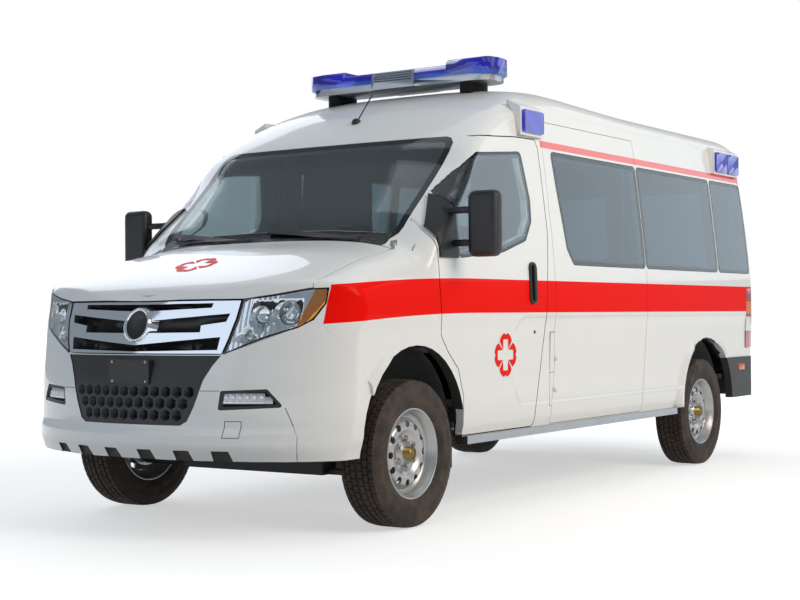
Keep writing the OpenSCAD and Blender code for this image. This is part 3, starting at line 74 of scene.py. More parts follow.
# Plan at several heights: height, nose, tail
PLAN_SHARES = [
    (.120, .930, .985), (.152, .946, .988), (.192, .9994, .990), (.206, .9994, .991), (.226, .976, .992),
    (.300, .968, .992), (.360, .940, .992), (.424, .905, .992), (.472, .862, .992), (.560, .830, .990),
    (.840, .800, .980), (1.06, .780, .966)]
NOSE_END_SHARE = 0.4
PLAN_OVER_SHARE = 1.006
TAIL_CORNER = 0.09
# Rounding where the nose, the sides and the tail run into each other at a right angle
EDGE_ROUND = 0.024
# A facet counts as outer skin this far under or over the form and within this angle of it
SKIN_UNDER = 0.016
SKIN_OVER = 0.014
# A region that stands out further than this on average is a raised part, and no skin
RAISED = 0.0045
SKIN_COSINE = math.cos(math.radians(45))
# A region is no skin but a groove where this share of its edge rises
MOST_RISING = 0.42
# A rebate has a pane this close over it
PANE_OVER = 0.014
# An edge between two faces counts as a step where they turn by more than this
STEP_COSINE = math.cos(math.radians(40))
# What lies deeper than this behind the skin is a jamb, above it a window's rebate
REBATE_DEPTH = 0.020
# Thinnest wall: an inner face closer than this to the skin is laid this far under it
THIN_WALL = 0.004
# Longest edge of a refined skin
SKIN_EDGE = 0.042
REFINE_ROUNDS = 9
FULL_TURN = 2 * math.pi


def y_of(share):
    """Place along the body from a share of the overhang, the cab or the load space."""
    if share < 0:
        return FRONT_AXLE + share * OVERHANG
    if share < 1:
        return FRONT_AXLE + share * CAB_L
    return FRONT_AXLE + CAB_L + (share - 1) * (TAIL_L - CAB_L)


def h_of(share):
    """Height from a share of the roof's height, in two zones that meet at the cowl."""
    if share < COWL_SHARE:
        return share / COWL_SHARE * COWL_H
    return COWL_H + (share - COWL_SHARE) / (1 - COWL_SHARE) * (ROOF_H - COWL_H)


def curve(points):
    """A smooth curve through (x, y) points that doesn't overshoot them."""
    xs, ys = np.array(points, float).T
    step = np.diff(xs)
    slope = np.diff(ys) / step
    tangent = np.concatenate([slope[:1], np.zeros(len(xs) - 2), slope[-1:]])
    same_way = slope[:-1] * slope[1:] > 0
    mean = 2 * slope[:-1] * slope[1:] / np.where(same_way, slope[:-1] + slope[1:], 1)
    tangent[1:-1] = np.where(same_way, mean, 0)

    def at(x):
        x = np.clip(x, xs[0], xs[-1])
        i = np.clip(np.searchsorted(xs, x) - 1, 0, len(xs) - 2)
        t = (x - xs[i]) / step[i]
        rise = ys[i] * (2 * t**3 - 3 * t**2 + 1) + ys[i + 1] * (3 * t**2 - 2 * t**3)
        return rise + step[i] * (tangent[i] * (t**3 - 2 * t**2 + t) + tangent[i + 1] * (t**3 - t**2))

    return at


SHOULDER = curve([(y_of(s[0]), h_of(s[1])) for s in SECTION_SHARES])
CROWN = curve([(y_of(s[0]), h_of(s[2])) for s in SECTION_SHARES])
SQUARENESS = curve([(y_of(s[0]), s[3]) for s in SECTION_SHARES])
SIDE = curve([(h_of(h), w * HALF_W) for h, w in SIDE_SHARES])
NOSE = curve([(h_of(h), (n - NOSE_END_SHARE) * OVERHANG) for h, n, _ in PLAN_SHARES])
TAIL = curve([(h_of(h), FRONT_AXLE + t * TAIL_L) for h, _, t in PLAN_SHARES])


def section_field(p):
    """Below 0 inside the lengthwise form, 0 on it."""
    shoulder, power = SHOULDER(p[:, 1]), SQUARENESS(p[:, 1])
    across = np.abs(p[:, 0]) / SIDE(np.minimum(p[:, 2], shoulder))
    up = np.maximum(p[:, 2] - shoulder, 0) / (CROWN(p[:, 1]) - shoulder)
    return (across**power + up**power + 1e-12) ** (1 / power) - 1


def nose_field(p):
    """Below 0 inside the rounded plan of the nose."""
    ahead = np.maximum(y_of(-NOSE_END_SHARE) - p[:, 1], 0) / NOSE(p[:, 2])
    return np.hypot(p[:, 0] / (HALF_W * PLAN_OVER_SHARE), ahead) - 1


def tail_field(p):
    """Below 0 ahead of the tail with its rounded corners."""
    beside = np.maximum(np.abs(p[:, 0]) - (HALF_W * PLAN_OVER_SHARE - TAIL_CORNER), 0)
    behind = np.maximum(p[:, 1] - (TAIL(p[:, 2]) - TAIL_CORNER), 0)
    return np.hypot(beside, behind) - TAIL_CORNER


def distance_and_normal(field, p, h=4e-4):
    """A field's distance in metres and its unit normal at each point."""
    slope = np.stack([(field(p + h * e) - field(p - h * e)) / (2 * h) for e in np.eye(3)], axis=1)
    size = np.maximum(np.linalg.norm(slope, axis=1), 1e-6)
    return field(p) / size, slope / size[:, None]


def body_form(p):
    """Distance outside the whole form and its outward normal, with the meeting edges rounded."""
    d, n = distance_and_normal(section_field, p)
    for field in (nose_field, tail_field):
        d2, n2 = distance_and_normal(field, p)
        turn = 1 - np.sum(n * n2, axis=1)
        gap = np.sqrt((d - d2) ** 2 + (EDGE_ROUND * turn) ** 2 + 1e-12)
        share = ((1 + (d2 - d) / gap) / 2)[:, None]
        d, n = (d + d2 + gap) / 2, n * (1 - share) + n2 * share
        n = n / np.linalg.norm(n, axis=1)[:, None]
    return d, n


def onto_form(p, depth=0.0, rounds=5):
    """Points moved along the form's normal until they lie on its skin, or at a depth under it."""
    for _ in range(rounds):
        d, n = body_form(p)
        p = p - (d + depth)[:, None] * n
    return p


def stand_on_form(place, depth=0.0):
    """A point of the form near a place, with its outward, lengthwise and upward directions."""
    p = onto_form(np.array([place], float), depth, 8)
    out = Vector(body_form(p)[1][0])
    level = Vector((-out.y, out.x, 0)).normalized()
    return Vector(p[0]), out, level, out.cross(level)


# Mesh helpers


def link(name, mesh, body, materials=()):
    """A finished piece: an object at the origin that rides on a CAD body."""
    piece = bpy.data.objects.new(name, mesh)
    bpy.context.scene.collection.objects.link(piece)
    for m in materials:
        piece.data.materials.append(m)
    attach(piece, body)
    return piece


def mesh_from(bm, name):
    """A mesh from a bmesh, which is freed."""
    mesh = bpy.data.meshes.new(name)
    bm.to_mesh(mesh)
    bm.free()
    return mesh


def smooth(mesh, angle=32):
    """Smooth shading with edges sharper than the angle kept."""
    mesh.shade_smooth()
    mesh.set_sharp_from_angle(angle=math.radians(angle))


def built(bm, name, body, materials, angle=32):
    """A smooth new piece from a bmesh."""
    mesh = mesh_from(bm, name)
    smooth(mesh, angle)
    return link(name, mesh, body, materials)


def merged_copy(node):
    """A bmesh copy of a CAD node with its loose triangles joined."""
    bm = bmesh.new()
    bm.from_mesh(NODES[node].data)
    bmesh.ops.remove_doubles(bm, verts=bm.verts, dist=2e-5)
    bm.normal_update()
    for f in bm.faces:
        f.material_index = 0
    return bm


def take_over(piece, node):
    """The piece, already on its body, stands for a CAD node, which is hidden."""
    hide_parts(node)
    return piece


def stand_in(bm, node, materials, angle):
    """A smooth piece from a bmesh that stands for a CAD node."""
    return take_over(built(bm, node + "_look", BODY_OF[node], materials, angle), node)


def rounded_node(node, *materials, pick=None, angle=32):
    """A CAD node shown with smooth shading; pick gives a face's material from its centre and normal."""
    bm = merged_copy(node)
    if pick:
        for f in bm.faces:
            f.material_index = pick(f.calc_center_median(), f.normal)
    return stand_in(bm, node, materials, angle)


def points_of(bm):
    """The vertices' places as rows."""
    bm.verts.index_update()
    return np.array([v.co for v in bm.verts], float).reshape(-1, 3)


def tree_of(*nodes):
    """A search tree of the faces of several CAD nodes."""
    bm = bmesh.new()
    for node in nodes:
        bm.from_mesh(NODES[node].data)
    tree = BVHTree.FromBMesh(bm)
    bm.free()
    return tree


PANES = ("windscreen", "side_windows", "door_glass_left", "door_glass_right", "rear_glass_left",
         "rear_glass_right", "headlamp_lenses")
PANE_TREE = tree_of(*PANES)


def under_pane(face):
    """Whether a pane's inner side lies close over a face."""
    start = face.calc_center_median() + face.normal * 1e-4
    inner = PANE_TREE.ray_cast(start, face.normal, PANE_OVER)[1]
    return inner is not None and inner.dot(face.normal) < -SKIN_COSINE


# Marks of a panel's faces: outer skin, inner skin of a pane or thin lip, floor of a rebate or groove
SKIN, INNER, SUNK = 1, 2, 3


def mark_skin(bm, layer, depth, pane):
    """Marks outward regions near the form, or at a depth under it, as skin, or as sunk in a groove."""
    d, n = body_form(points_of(bm))
    near = (d + depth > -SKIN_UNDER) & (d + depth < SKIN_OVER)
    left = set()
    for f in bm.faces:
        ids = [v.index for v in f.verts]
        if near[ids].all() and f.normal.dot(Vector(n[ids].mean(axis=0))) > SKIN_COSINE:
            left.add(f)
    close = frozenset(left)
    while left:
        region, queue, rising, outline = [], [left.pop()], 0.0, 1e-6
        while queue:
            f = queue.pop()
            region.append(f)
            for e in f.edges:
                for g in e.link_faces:
                    if g in left:
                        left.remove(g)
                        queue.append(g)
                    elif g not in close:
                        outline += e.calc_length()
                        steep = g.normal.dot(f.normal) < STEP_COSINE
                        if steep and f.normal.dot(g.calc_center_median() - e.verts[0].co) > 0:
                            rising += e.calc_length()
        area = sum(f.calc_area() for f in region)
        level = {f: d[[v.index for v in f.verts]].mean() for f in region}
        height = sum(level[f] * f.calc_area() for f in region) / area
        covered = set() if pane else {f for f in region if under_pane(f)}
        sunk = rising / outline > MOST_RISING or sum(f.calc_area() for f in covered) > area / 2
        if height + depth < RAISED:
            for f in region:
                f[layer] = SUNK if sunk or f in covered else SKIN


def refine(bm, layer, longest):
    """Splits the edges of marked faces until none is longer than the limit."""
    for _ in range(REFINE_ROUNDS):
        marked = {e for f in bm.faces if f[layer] in (SKIN, INNER) for e in f.edges}
        edges = [e for e in bm.edges if e in marked and e.calc_length() > longest]
        if not edges:
            return
        bmesh.ops.subdivide_edges(bm, edges=edges, cuts=1)
        bmesh.ops.triangulate(bm, faces=[f for f in bm.faces if len(f.verts) > 3])


def lay(bm, layer, depths):
    """Moves the marked faces' vertices to each mark's depth under the form; returns all places."""
    p = points_of(bm)
    for mark, depth in depths:
        ids = sorted({v.index for f in bm.faces if f[layer] == mark for v in f.verts})
        if ids:
            p[ids] = onto_form(p[ids], depth)
    for v in bm.verts:
        v.co = p[v.index]
    return p


# A panel's finishes by place: outer skin, inner side, edge, window rebate, jamb, raised part
OUTSIDE, INSIDE, EDGE, REBATE, JAMB, RAISED_PART = range(6)


def place_of(face, d, n):
    """Which finish a face that isn't skin takes, from its depths and the form's normals at its corners."""
    facing = face.normal.dot(Vector(n.mean(axis=0)))
    if facing < -0.5:
        return INSIDE
    if d.max() > RAISED:
        return RAISED_PART
    if facing < 0.5:
        return REBATE if d.min() > -REBATE_DEPTH else EDGE
    return OUTSIDE if d.mean() > -REBATE_DEPTH else JAMB


def outline_distances(bm, layer):
    """How far each vertex lies from the outline of the marked skin."""
    marks = []
    for e in bm.edges:
        if len({f[layer] == SKIN for f in e.link_faces}) == 2:
            marks += [e.verts[0].co.lerp(e.verts[1].co, i / 4) for i in range(4)]
    tree = kdtree.KDTree(len(marks))
    for i, p in enumerate(marks):
        tree.insert(p, i)
    tree.balance()
    return [tree.find(v.co)[2] for v in bm.verts]


def panel(node, looks, depth=0.0, inner_depth=None, longest=SKIN_EDGE):
    """A CAD panel whose skin, and a pane's inner side, lie on the smooth form, with finishes by place."""
    bm = merged_copy(node)
    skin = bm.faces.layers.int.new("skin")
    mark_skin(bm, skin, depth, node in PANES)
    d, n = body_form(np.array([f.calc_center_median() for f in bm.faces], float))
    for f, over, out in zip(bm.faces, d, n):
        if not f[skin] and f.normal.dot(Vector(out)) < -0.8 and (inner_depth or over > -THIN_WALL):
            f[skin] = INNER
    refine(bm, skin, longest)
    p = lay(bm, skin, ((INNER, inner_depth or THIN_WALL), (SKIN, depth)))
    bm.normal_update()
    d, n = body_form(p)
    for f in bm.faces:
        ids = [v.index for v in f.verts]
        at_place = place_of(f, d[ids], n[ids])
        f.material_index = {SKIN: OUTSIDE, INNER: OUTSIDE, SUNK: REBATE}.get(f[skin], at_place)
    marks = [(f[skin], [v.index for v in f.verts]) for f in bm.faces]
    from_edge = outline_distances(bm, skin) if inner_depth else None
    mesh = mesh_from(bm, node + "_look")
    if from_edge:
        mesh.attributes.new("from_edge", "FLOAT", "POINT").data.foreach_set("value", from_edge)
    smooth(mesh)
    normals = np.array([c.vector for c in mesh.corner_normals], float)
    at = 0
    for mark, ids in marks:
        if mark in (SKIN, INNER):
            normals[at:at + len(ids)] = n[ids] * (1 if mark == SKIN else -1)
        at += len(ids)
    mesh.normals_split_custom_set(normals.tolist())
    return take_over(link(node + "_look", mesh, BODY_OF[node], materials=looks), node)


def add_spin(bm, profile, centre, axis, steps=32, mat=0, closed=False):
    """A turned form from (radius, height) points about an axis; returns its faces."""
    axis = Vector(axis).normalized()
    side = axis.orthogonal().normalized()
    line = [bm.verts.new(Vector(centre) + side * r + axis * h) for r, h in profile]
    pairs = list(zip(line, line[1:] + (line[:1] if closed else [])))
    edges = [bm.edges.new(p) for p in pairs]
    before = set(bm.faces)
    bmesh.ops.spin(
        bm, geom=line + edges, cent=centre, axis=axis, angle=FULL_TURN, steps=steps, use_merge=True)
    made = [f for f in bm.faces if f not in before]
    bmesh.ops.remove_doubles(bm, verts=list(dict.fromkeys(v for f in made for v in f.verts)), dist=1e-6)
    made = [f for f in made if f.is_valid]
    bmesh.ops.recalc_face_normals(bm, faces=made)
    for f in made:
        f.material_index = mat
    return made


def add_block(bm, centre, size, axes=((1, 0, 0), (0, 1, 0), (0, 0, 1)), bevel=0.003, mat=0, segments=3):
    """A block with rounded edges along three directions; returns its faces."""
    turn = Matrix([Vector(a).normalized() * s for a, s in zip(axes, size)]).transposed().to_4x4()
    before = set(bm.faces)
    made = bmesh.ops.create_cube(bm, size=1.0, matrix=Matrix.Translation(Vector(centre)) @ turn)
    edges = list(dict.fromkeys(e for v in made["verts"] for e in v.link_edges))
    bmesh.ops.bevel(
        bm, geom=edges, offset=bevel, segments=segments, profile=0.5, affect="EDGES", material=-1)
    faces = [f for f in bm.faces if f not in before]
    bmesh.ops.recalc_face_normals(bm, faces=faces)
    for f in faces:
        f.material_index = mat
    return faces


def add_rows(bm, rows, closed=True):
    """Faces between each row of points and the next; returns the rows' vertices."""
    made = [[bm.verts.new(p) for p in row] for row in rows]
    count = len(made[0])
    for first, second in zip(made, made[1:]):
        for i in range(count if closed else count - 1):
            j = (i + 1) % count
            bm.faces.new((first[i], first[j], second[j], second[i]))
    return made


# Materials


def linear(hex_colour):
    """Linear RGBA from an sRGB hex colour."""
    parts = [int(hex_colour[i:i + 2], 16) / 255 for i in (1, 3, 5)]
    return [c / 12.92 if c <= 0.04045 else ((c + 0.055) / 1.055) ** 2.4 for c in parts] + [1.0]


def add(tree, kind, inputs, output=0, **settings):
    """A shader node; inputs by name or in order: values, hex colours or sockets. Returns one output."""
    node = tree.nodes.new("ShaderNode" + kind)
    for key, value in settings.items():
        setattr(node, key, value)
    for key, value in inputs.items() if isinstance(inputs, dict) else enumerate(inputs):
        if isinstance(value, bpy.types.NodeSocket):
            tree.links.new(value, node.inputs[key])
        else:
            node.inputs[key].default_value = linear(value) if isinstance(value, str) else value
    return node.outputs[output] if node.outputs else None


# Sockets of a Mix node for colours: share, first colour, second colour, result
SHARE, FIRST, SECOND, MIXED = 0, 6, 7, 2


def material(name, inputs):
    """A material with a Principled shader; returns it, its tree, the shader's inputs and the place."""
    made = bpy.data.materials.new(name)
    made.use_nodes = True
    tree = made.node_tree
    tree.nodes.clear()
    surface = add(tree, "BsdfPrincipled", inputs)
    add(tree, "OutputMaterial", {"Surface": surface})
    return made, tree, surface.node.inputs, add(tree, "TexCoord", {}, "Object")


def band(tree, value, low, high):
    """1 where a value lies between two limits."""
    above = add(tree, "Math", (value, low), operation="GREATER_THAN")
    below = add(tree, "Math", (value, high), operation="LESS_THAN")
    return add(tree, "Math", (above, below), operation="MULTIPLY")


def grain(tree, shader, place, size_mm, strength, rough):
    """Fine surface noise of a real size: bump, and a spread of roughness."""
    noise = add(tree, "TexNoise", {"Vector": place, "Scale": 1000 / size_mm, "Detail": 3.0})
    bump = add(tree, "Bump", {"Height": noise, "Strength": strength, "Distance": size_mm / 4000})
    tree.links.new(bump, shader["Normal"])
    spread = add(tree, "MapRange", {"Value": noise, "To Min": rough[0], "To Max": rough[1]})
    tree.links.new(spread, shader["Roughness"])
    return noise


def plain(name, colour, rough, grain_mm, bump, spread=0.08, other=None, **more):
    """A finish with grain of a real size in its bump and roughness, and cloudy shifts of its colour."""
    made, tree, shader, place = material(name, {"Base Color": colour, "Roughness": rough, **more})
    grain(tree, shader, place, grain_mm, bump, (rough - spread, rough + spread))
    if other:
        cloud = add(tree, "TexNoise", {"Vector": place, "Scale": 9.0, "Detail": 5.0})
        shifted = add(tree, "Mix", {SHARE: cloud, FIRST: colour, SECOND: other}, MIXED, data_type="RGBA")
        tree.links.new(shifted, shader["Base Color"])
    return made


# Stripes of the livery: heights in metres; the red one sinks towards the nose and starts on a slant
RED_LOW, RED_HIGH = 1.040, 1.216
RED_SINK, RED_SINK_FROM, RED_SINK_OVER = 0.044, -1.2, 1.16
RED_FRONT, RED_FRONT_H, RED_SLANT = -2.345, 1.171, 0.244
RED_END = FRONT_AXLE + 4.43
PINK_LOW, PINK_HIGH = 1.969, 2.008
PINK_FRONT, PINK_END = FRONT_AXLE + 1.37, FRONT_AXLE + 4.39
STRIPE_X = 0.60
# Shallow pressed field of the lower side: middle and half size along and up, corner radius, ramp, depth
PRESS_MIDDLE, PRESS_HALF = (1.0, 0.780), (1.82, 0.252)
PRESS_CORNER, PRESS_RAMP, PRESS_DEPTH = 0.13, 0.030, 0.006
# Road dust: from this height down to that one, and its share at the bottom
DUST_TOP, DUST_LOW, DUST_SHARE = 0.62, 0.35, 0.30


def stripes(tree, x, y, z):
    """Where the sides, the red stripe and the pink stripe are."""
    beside = add(tree, "Math", (x,), operation="ABSOLUTE")
    on_side = add(tree, "Math", (beside, STRIPE_X), operation="GREATER_THAN")
    ahead = add(tree, "Math", (RED_SINK_FROM, y), operation="SUBTRACT")
    ahead = add(tree, "Math", (ahead, 1 / RED_SINK_OVER), operation="MULTIPLY")
    ahead = add(tree, "Math", (ahead, 0.0), operation="MAXIMUM")
    squared = add(tree, "Math", (ahead, ahead), operation="MULTIPLY")
    level = add(tree, "Math", (squared, RED_SINK, z), operation="MULTIPLY_ADD")
    below = add(tree, "Math", (RED_FRONT_H, z), operation="SUBTRACT")
    slanted = add(tree, "Math", (below, RED_SLANT, y), operation="MULTIPLY_ADD")
    up, along = band(tree, level, RED_LOW, RED_HIGH), band(tree, slanted, RED_FRONT, RED_END)
    red = add(tree, "Math", (up, along), operation="MULTIPLY")
    red = add(tree, "Math", (red, on_side), operation="MULTIPLY")
    up, along = band(tree, z, PINK_LOW, PINK_HIGH), band(tree, y, PINK_FRONT, PINK_END)
    return on_side, red, add(tree, "Math", (up, along), operation="MULTIPLY")


def pressed_field(tree, y, z):
    """Height of the sheet around the pressed field, which has round corners."""
    over = []
    for value, middle, half in zip((y, z), PRESS_MIDDLE, PRESS_HALF):
        off = add(tree, "Math", (value, middle), operation="SUBTRACT")
        off = add(tree, "Math", (off,), operation="ABSOLUTE")
        off = add(tree, "Math", (off, half - PRESS_CORNER), operation="SUBTRACT")
        over.append(add(tree, "Math", (off, 0.0), operation="MAXIMUM"))
    corner = add(tree, "CombineXYZ", over)
    outside = add(tree, "VectorMath", (corner,), "Value", operation="LENGTH")
    return add(tree, "MapRange", {
        "Value": outside, "From Min": PRESS_CORNER - PRESS_RAMP, "From Max": PRESS_CORNER,
        "To Min": 0.0, "To Max": PRESS_DEPTH}, interpolation_type="SMOOTHSTEP")


def enamel_with_stripes():
    """White car enamel under clear coat, with cut film stripes: glossy, even, a little dust low down."""
    made, tree, shader, place = material("white_enamel", {"Roughness": 0.35, "Coat Roughness": 0.03})
    x, y, z = add(tree, "SeparateXYZ", (place,)).node.outputs
    on_side, red, pink = stripes(tree, x, y, z)
    cloud = add(tree, "TexNoise", {"Vector": place, "Scale": 2.5, "Detail": 4.0})
    dust = add(tree, "MapRange", {
        "Value": z, "From Min": DUST_LOW, "From Max": DUST_TOP, "To Min": DUST_SHARE, "To Max": 0.0})
    dust = add(tree, "Math", (dust, cloud), operation="MULTIPLY")
    colour = add(tree, "Mix", {SHARE: cloud, FIRST: "#E4E4E1", SECOND: "#EEEEEB"}, MIXED, data_type="RGBA")
    for share, layer in ((dust, "#8D8372"), (pink, "#F0605C"), (red, "#FA1002")):
        colour = add(tree, "Mix", {SHARE: share, FIRST: colour, SECOND: layer}, MIXED, data_type="RGBA")
    tree.links.new(colour, shader["Base Color"])
    # The film is duller than the coat around it
    for socket, coat, film in (("Specular IOR Level", 0.25, 0.03), ("Coat Weight", 0.6, 0.1)):
        shine = add(tree, "MapRange", {"Value": red, "To Min": coat, "To Max": film})
        tree.links.new(shine, shader[socket])
    height = add(tree, "Math", (pressed_field(tree, y, z), on_side), operation="MULTIPLY")
    pressing = add(tree, "Bump", {"Height": height, "Distance": 1.0})
    peel = add(tree, "TexNoise", {"Vector": place, "Scale": 220.0})
    bump = add(tree, "Bump", {"Height": peel, "Strength": 0.03, "Distance": 0.0005, "Normal": pressing})
    tree.links.new(pressing, shader["Normal"])
    tree.links.new(bump, shader["Coat Normal"])
    return made


def clear_plastic(name, tint, border=0.0, rough=0.02, index=1.5):
    """Clear or tinted glass and lens plastic: shows the inside, reflects cleanly, black at the edge."""
    made, tree, shader, place = material(name, {
        "Base Color": tint, "Roughness": rough, "IOR": index, "Transmission Weight": 1.0})
    if border:
        from_edge = add(tree, "Attribute", {}, "Fac", attribute_name="from_edge")
        clear = add(tree, "Math", (from_edge, border), operation="GREATER_THAN")
        tree.links.new(clear, shader["Transmission Weight"])
        colour = add(tree, "Mix", {SHARE: clear, FIRST: "#08090A", SECOND: tint}, MIXED, data_type="RGBA")
        tree.links.new(colour, shader["Base Color"])
    haze = add(tree, "TexNoise", {"Vector": place, "Scale": 6.0, "Detail": 4.0})
    spread = add(tree, "MapRange", {"Value": haze, "To Min": rough, "To Max": rough + 0.03})
    tree.links.new(spread, shader["Roughness"])
    return made


# The indicator's inner edge in the headlamp: distance from the middle at a height, and its lean
AMBER_X, AMBER_H, AMBER_LEAN = 0.815, 1.06, 0.35


def lamp_reflector():
    """Aluminised lamp housing with flutes 22 mm apart: bright as a mirror, amber at the outer end."""
    made, tree, shader, place = material("lamp_reflector", {"Metallic": 1.0, "Roughness": 0.12})
    x, _, z = add(tree, "SeparateXYZ", (place,)).node.outputs
    beside = add(tree, "Math", (x,), operation="ABSOLUTE")
    below = add(tree, "Math", (AMBER_H, z), operation="SUBTRACT")
    edge = add(tree, "Math", (below, AMBER_LEAN, beside), operation="MULTIPLY_ADD")
    amber = add(tree, "Math", (edge, AMBER_X), operation="GREATER_THAN")
    colour = add(tree, "Mix", {SHARE: amber, FIRST: "#D9DCE0", SECOND: "#E88A1E"}, MIXED, data_type="RGBA")
    tree.links.new(colour, shader["Base Color"])
    flutes = add(tree, "TexWave", {"Vector": place, "Scale": 14.0}, "Fac", bands_direction="X")
    bump = add(tree, "Bump", {"Height": flutes, "Strength": 0.25, "Distance": 0.004})
    tree.links.new(bump, shader["Normal"])
    return made


# Half the height over which a signal lens turns from one colour to the other
SPLIT_HALF = 0.008
# Radians that a diagonal wave turns through in a metre at a scale of 1
WAVE_TURN = 10


def signal_lens(name, low, high, split_h, wave_mm):
    """Coloured lens plastic with broad waves of painted shade: deep colour above a height, paler where the
    inside shows.
    """
    made, tree, shader, place = material(name, {
        "Roughness": 0.12, "Coat Weight": 0.6, "Coat Roughness": 0.04, "Emission Strength": 0.12})
    z = add(tree, "SeparateXYZ", (place,), "Z")
    upper = add(tree, "MapRange", {
        "Value": z, "From Min": split_h - SPLIT_HALF, "From Max": split_h + SPLIT_HALF})
    waves = add(tree, "TexWave", {"Vector": place, "Scale": 1000 * FULL_TURN / WAVE_TURN / wave_mm}, "Fac",
                bands_direction="DIAGONAL")
    # Painted shade: the colour darkens towards a deep blue in broad diagonal bands
    shade = add(tree, "Math", (waves, 0.45), operation="MULTIPLY")
    colour = add(tree, "Mix", {SHARE: upper, FIRST: low, SECOND: high}, MIXED, data_type="RGBA")
    colour = add(tree, "Mix", {SHARE: shade, FIRST: colour, SECOND: "#06043A"}, MIXED, data_type="RGBA")
    for socket in ("Base Color", "Emission Color"):
        tree.links.new(colour, shader[socket])
    bump = add(tree, "Bump", {"Height": waves, "Strength": 0.3, "Distance": 0.002})
    tree.links.new(bump, shader["Normal"])
    return made


# Fields of the tail lamp's lens: from, to, colour
TAIL_FIELDS = ((1.02, 1.11, "#E27A10"), (0.90, 1.0, "#D8DADC"))


def tail_lens():
    """Tail lamp lens in fields: red, amber indicator, clear reversing lamp, with small prisms."""
    made, tree, shader, place = material("tail_lens", {
        "Roughness": 0.12, "Coat Weight": 0.8, "Coat Roughness": 0.03})
    z = add(tree, "SeparateXYZ", (place,), "Z")
    colour = "#A80D0D"
    for low, high, field in TAIL_FIELDS:
        share = band(tree, z, low, high)
        colour = add(tree, "Mix", {SHARE: share, FIRST: colour, SECOND: field}, MIXED, data_type="RGBA")
    tree.links.new(colour, shader["Base Color"])
    prisms = add(tree, "TexVoronoi", {"Vector": place, "Scale": 160.0}, distance="CHEBYCHEV")
    bump = add(tree, "Bump", {"Height": prisms, "Strength": 0.4, "Distance": 0.002})
    tree.links.new(bump, shader["Normal"])
    return made


def tyre_rubber():
    """Road-worn tyre rubber: dark, matt, with brown dust that lies on the sidewall and in the grooves."""
    made, tree, shader, place = material("tyre_rubber", {"Roughness": 0.85})
    noise = grain(tree, shader, place, 5, 0.35, (0.72, 0.95))
    cloud = add(tree, "TexNoise", {"Vector": place, "Scale": 14.0, "Detail": 6.0})
    dust = add(tree, "Math", (cloud, noise), operation="MULTIPLY")
    dust = add(tree, "MapRange", {"Value": dust, "From Min": 0.15, "From Max": 0.45})
    colour = add(tree, "Mix", {SHARE: dust, FIRST: "#221E1B", SECOND: "#5A4B40"}, MIXED, data_type="RGBA")
    tree.links.new(colour, shader["Base Color"])
    return made


def seat_cloth():
    """Woven seat cloth: dark grey threads, drawn 3 mm apart so that they show, soft and without shine."""
    made, tree, shader, place = material("seat_cloth", {"Roughness": 0.95, "Sheen Weight": 0.25})
    warp, weft = (add(tree, "TexWave", {"Vector": place, "Scale": 105.0}, "Fac", bands_direction=way)
                  for way in "XZ")
    weave = add(tree, "Math", (warp, weft), operation="MULTIPLY")
    colour = add(tree, "Mix", {SHARE: weave, FIRST: "#1B1D21", SECOND: "#34373D"}, MIXED, data_type="RGBA")
    tree.links.new(colour, shader["Base Color"])
    bump = add(tree, "Bump", {"Height": weave, "Strength": 0.4, "Distance": 0.0008})
    tree.links.new(bump, shader["Normal"])
    return made


ENAMEL = enamel_with_stripes()
# Light grey moulded cabin lining with a soft grain
LINING = plain("cabin_lining", "#7E8083", 0.7, 3, 0.2, other="#8A8C8E")
# Black moulded ABS with a fine leather grain, a little faded in patches
BLACK_ABS = plain("black_abs", "#121214", 0.48, 2.5, 0.3, other="#1C1C1E")
# Gloss black ceramic print on the border of bonded glass
FRIT = plain("black_ceramic_print", "#08090A", 0.18, 1.5, 0.05, 0.05)
# Dark grey moulded plastic of the rear bumper, the dashboard and the cabin's fittings
GREY_ABS = plain("grey_abs", "#2C2E31", 0.55, 2.5, 0.35, other="#3A3B3D")
# Soft black rubber of seals and flaps, also laid on the panels' edge walls, rebates and grooves, where it
# is partly painted shade that darkens the shut lines
RUBBER_AND_GAP_SHADE = plain("black_rubber_and_gap_shade", "#0F0F10", 0.75, 4, 0.3, other="#1D1B19")
# Dark stone-chipped chassis paint with road dirt
FRAME_PAINT = plain("chassis_paint", "#131416", 0.6, 8, 0.4, other="#2A2622")
# Rough grey castings with a rusty tinge
IRON = plain("cast_iron", "#3B3B3C", 0.7, 5, 0.6, other="#4A423A", Metallic=0.7)
# Anodised aluminium, dull silver with fine grain
ALUMINIUM = plain("satin_aluminium", "#B4B7BA", 0.35, 2, 0.1, other="#9EA2A6", Metallic=1.0)
# Exhaust steel, browned by heat in patches
EXHAUST = plain("exhaust_steel", "#8A8580", 0.45, 6, 0.3, other="#5E5046", Metallic=1.0)
# Bright chrome plate on plastic
CHROME = plain("chrome_plate", "#D5D9DD", 0.08, 30, 0.02, 0.03, Metallic=1.0)
# Silver wheel paint with metal flake and brake dust
WHEEL_PAINT = plain("silver_wheel_paint", "#B9BCC0", 0.34, 3, 0.1, other="#A39F99", Metallic=0.7)
# Yellow brass of the hub caps, dulled in use
BRASS = plain("brass_cap", "#8F7A45", 0.35, 4, 0.15, other="#6A5A38", Metallic=1.0)
# Zinc-plated nuts and bolts, pale grey with dull patches
ZINC = plain("zinc_nuts", "#9A9C9F", 0.4, 3, 0.15, other="#7E7A74", Metallic=1.0)
# Grey-blue moulded speaker case
SPEAKER = plain("speaker_case", "#7C8794", 0.4, 2.5, 0.2, other="#8B95A0")
TYRE_RUBBER = tyre_rubber()
CLOTH = seat_cloth()
# Amber moulded reflector
AMBER = plain("amber_lens", "#D8650C", 0.15, 6, 0.3, 0.05)
# Red film of the generic rosettes
RED_FILM = plain("red_film", "#EE1206", 0.45, 3, 0.05, other="#F41A0A", **{"Specular IOR Level": 0.1})
# Silvered glass of the mirrors and lamp bowls
MIRROR = plain("silvered_glass", "#E6E9EC", 0.04, 40, 0.01, 0.02, Metallic=1.0)
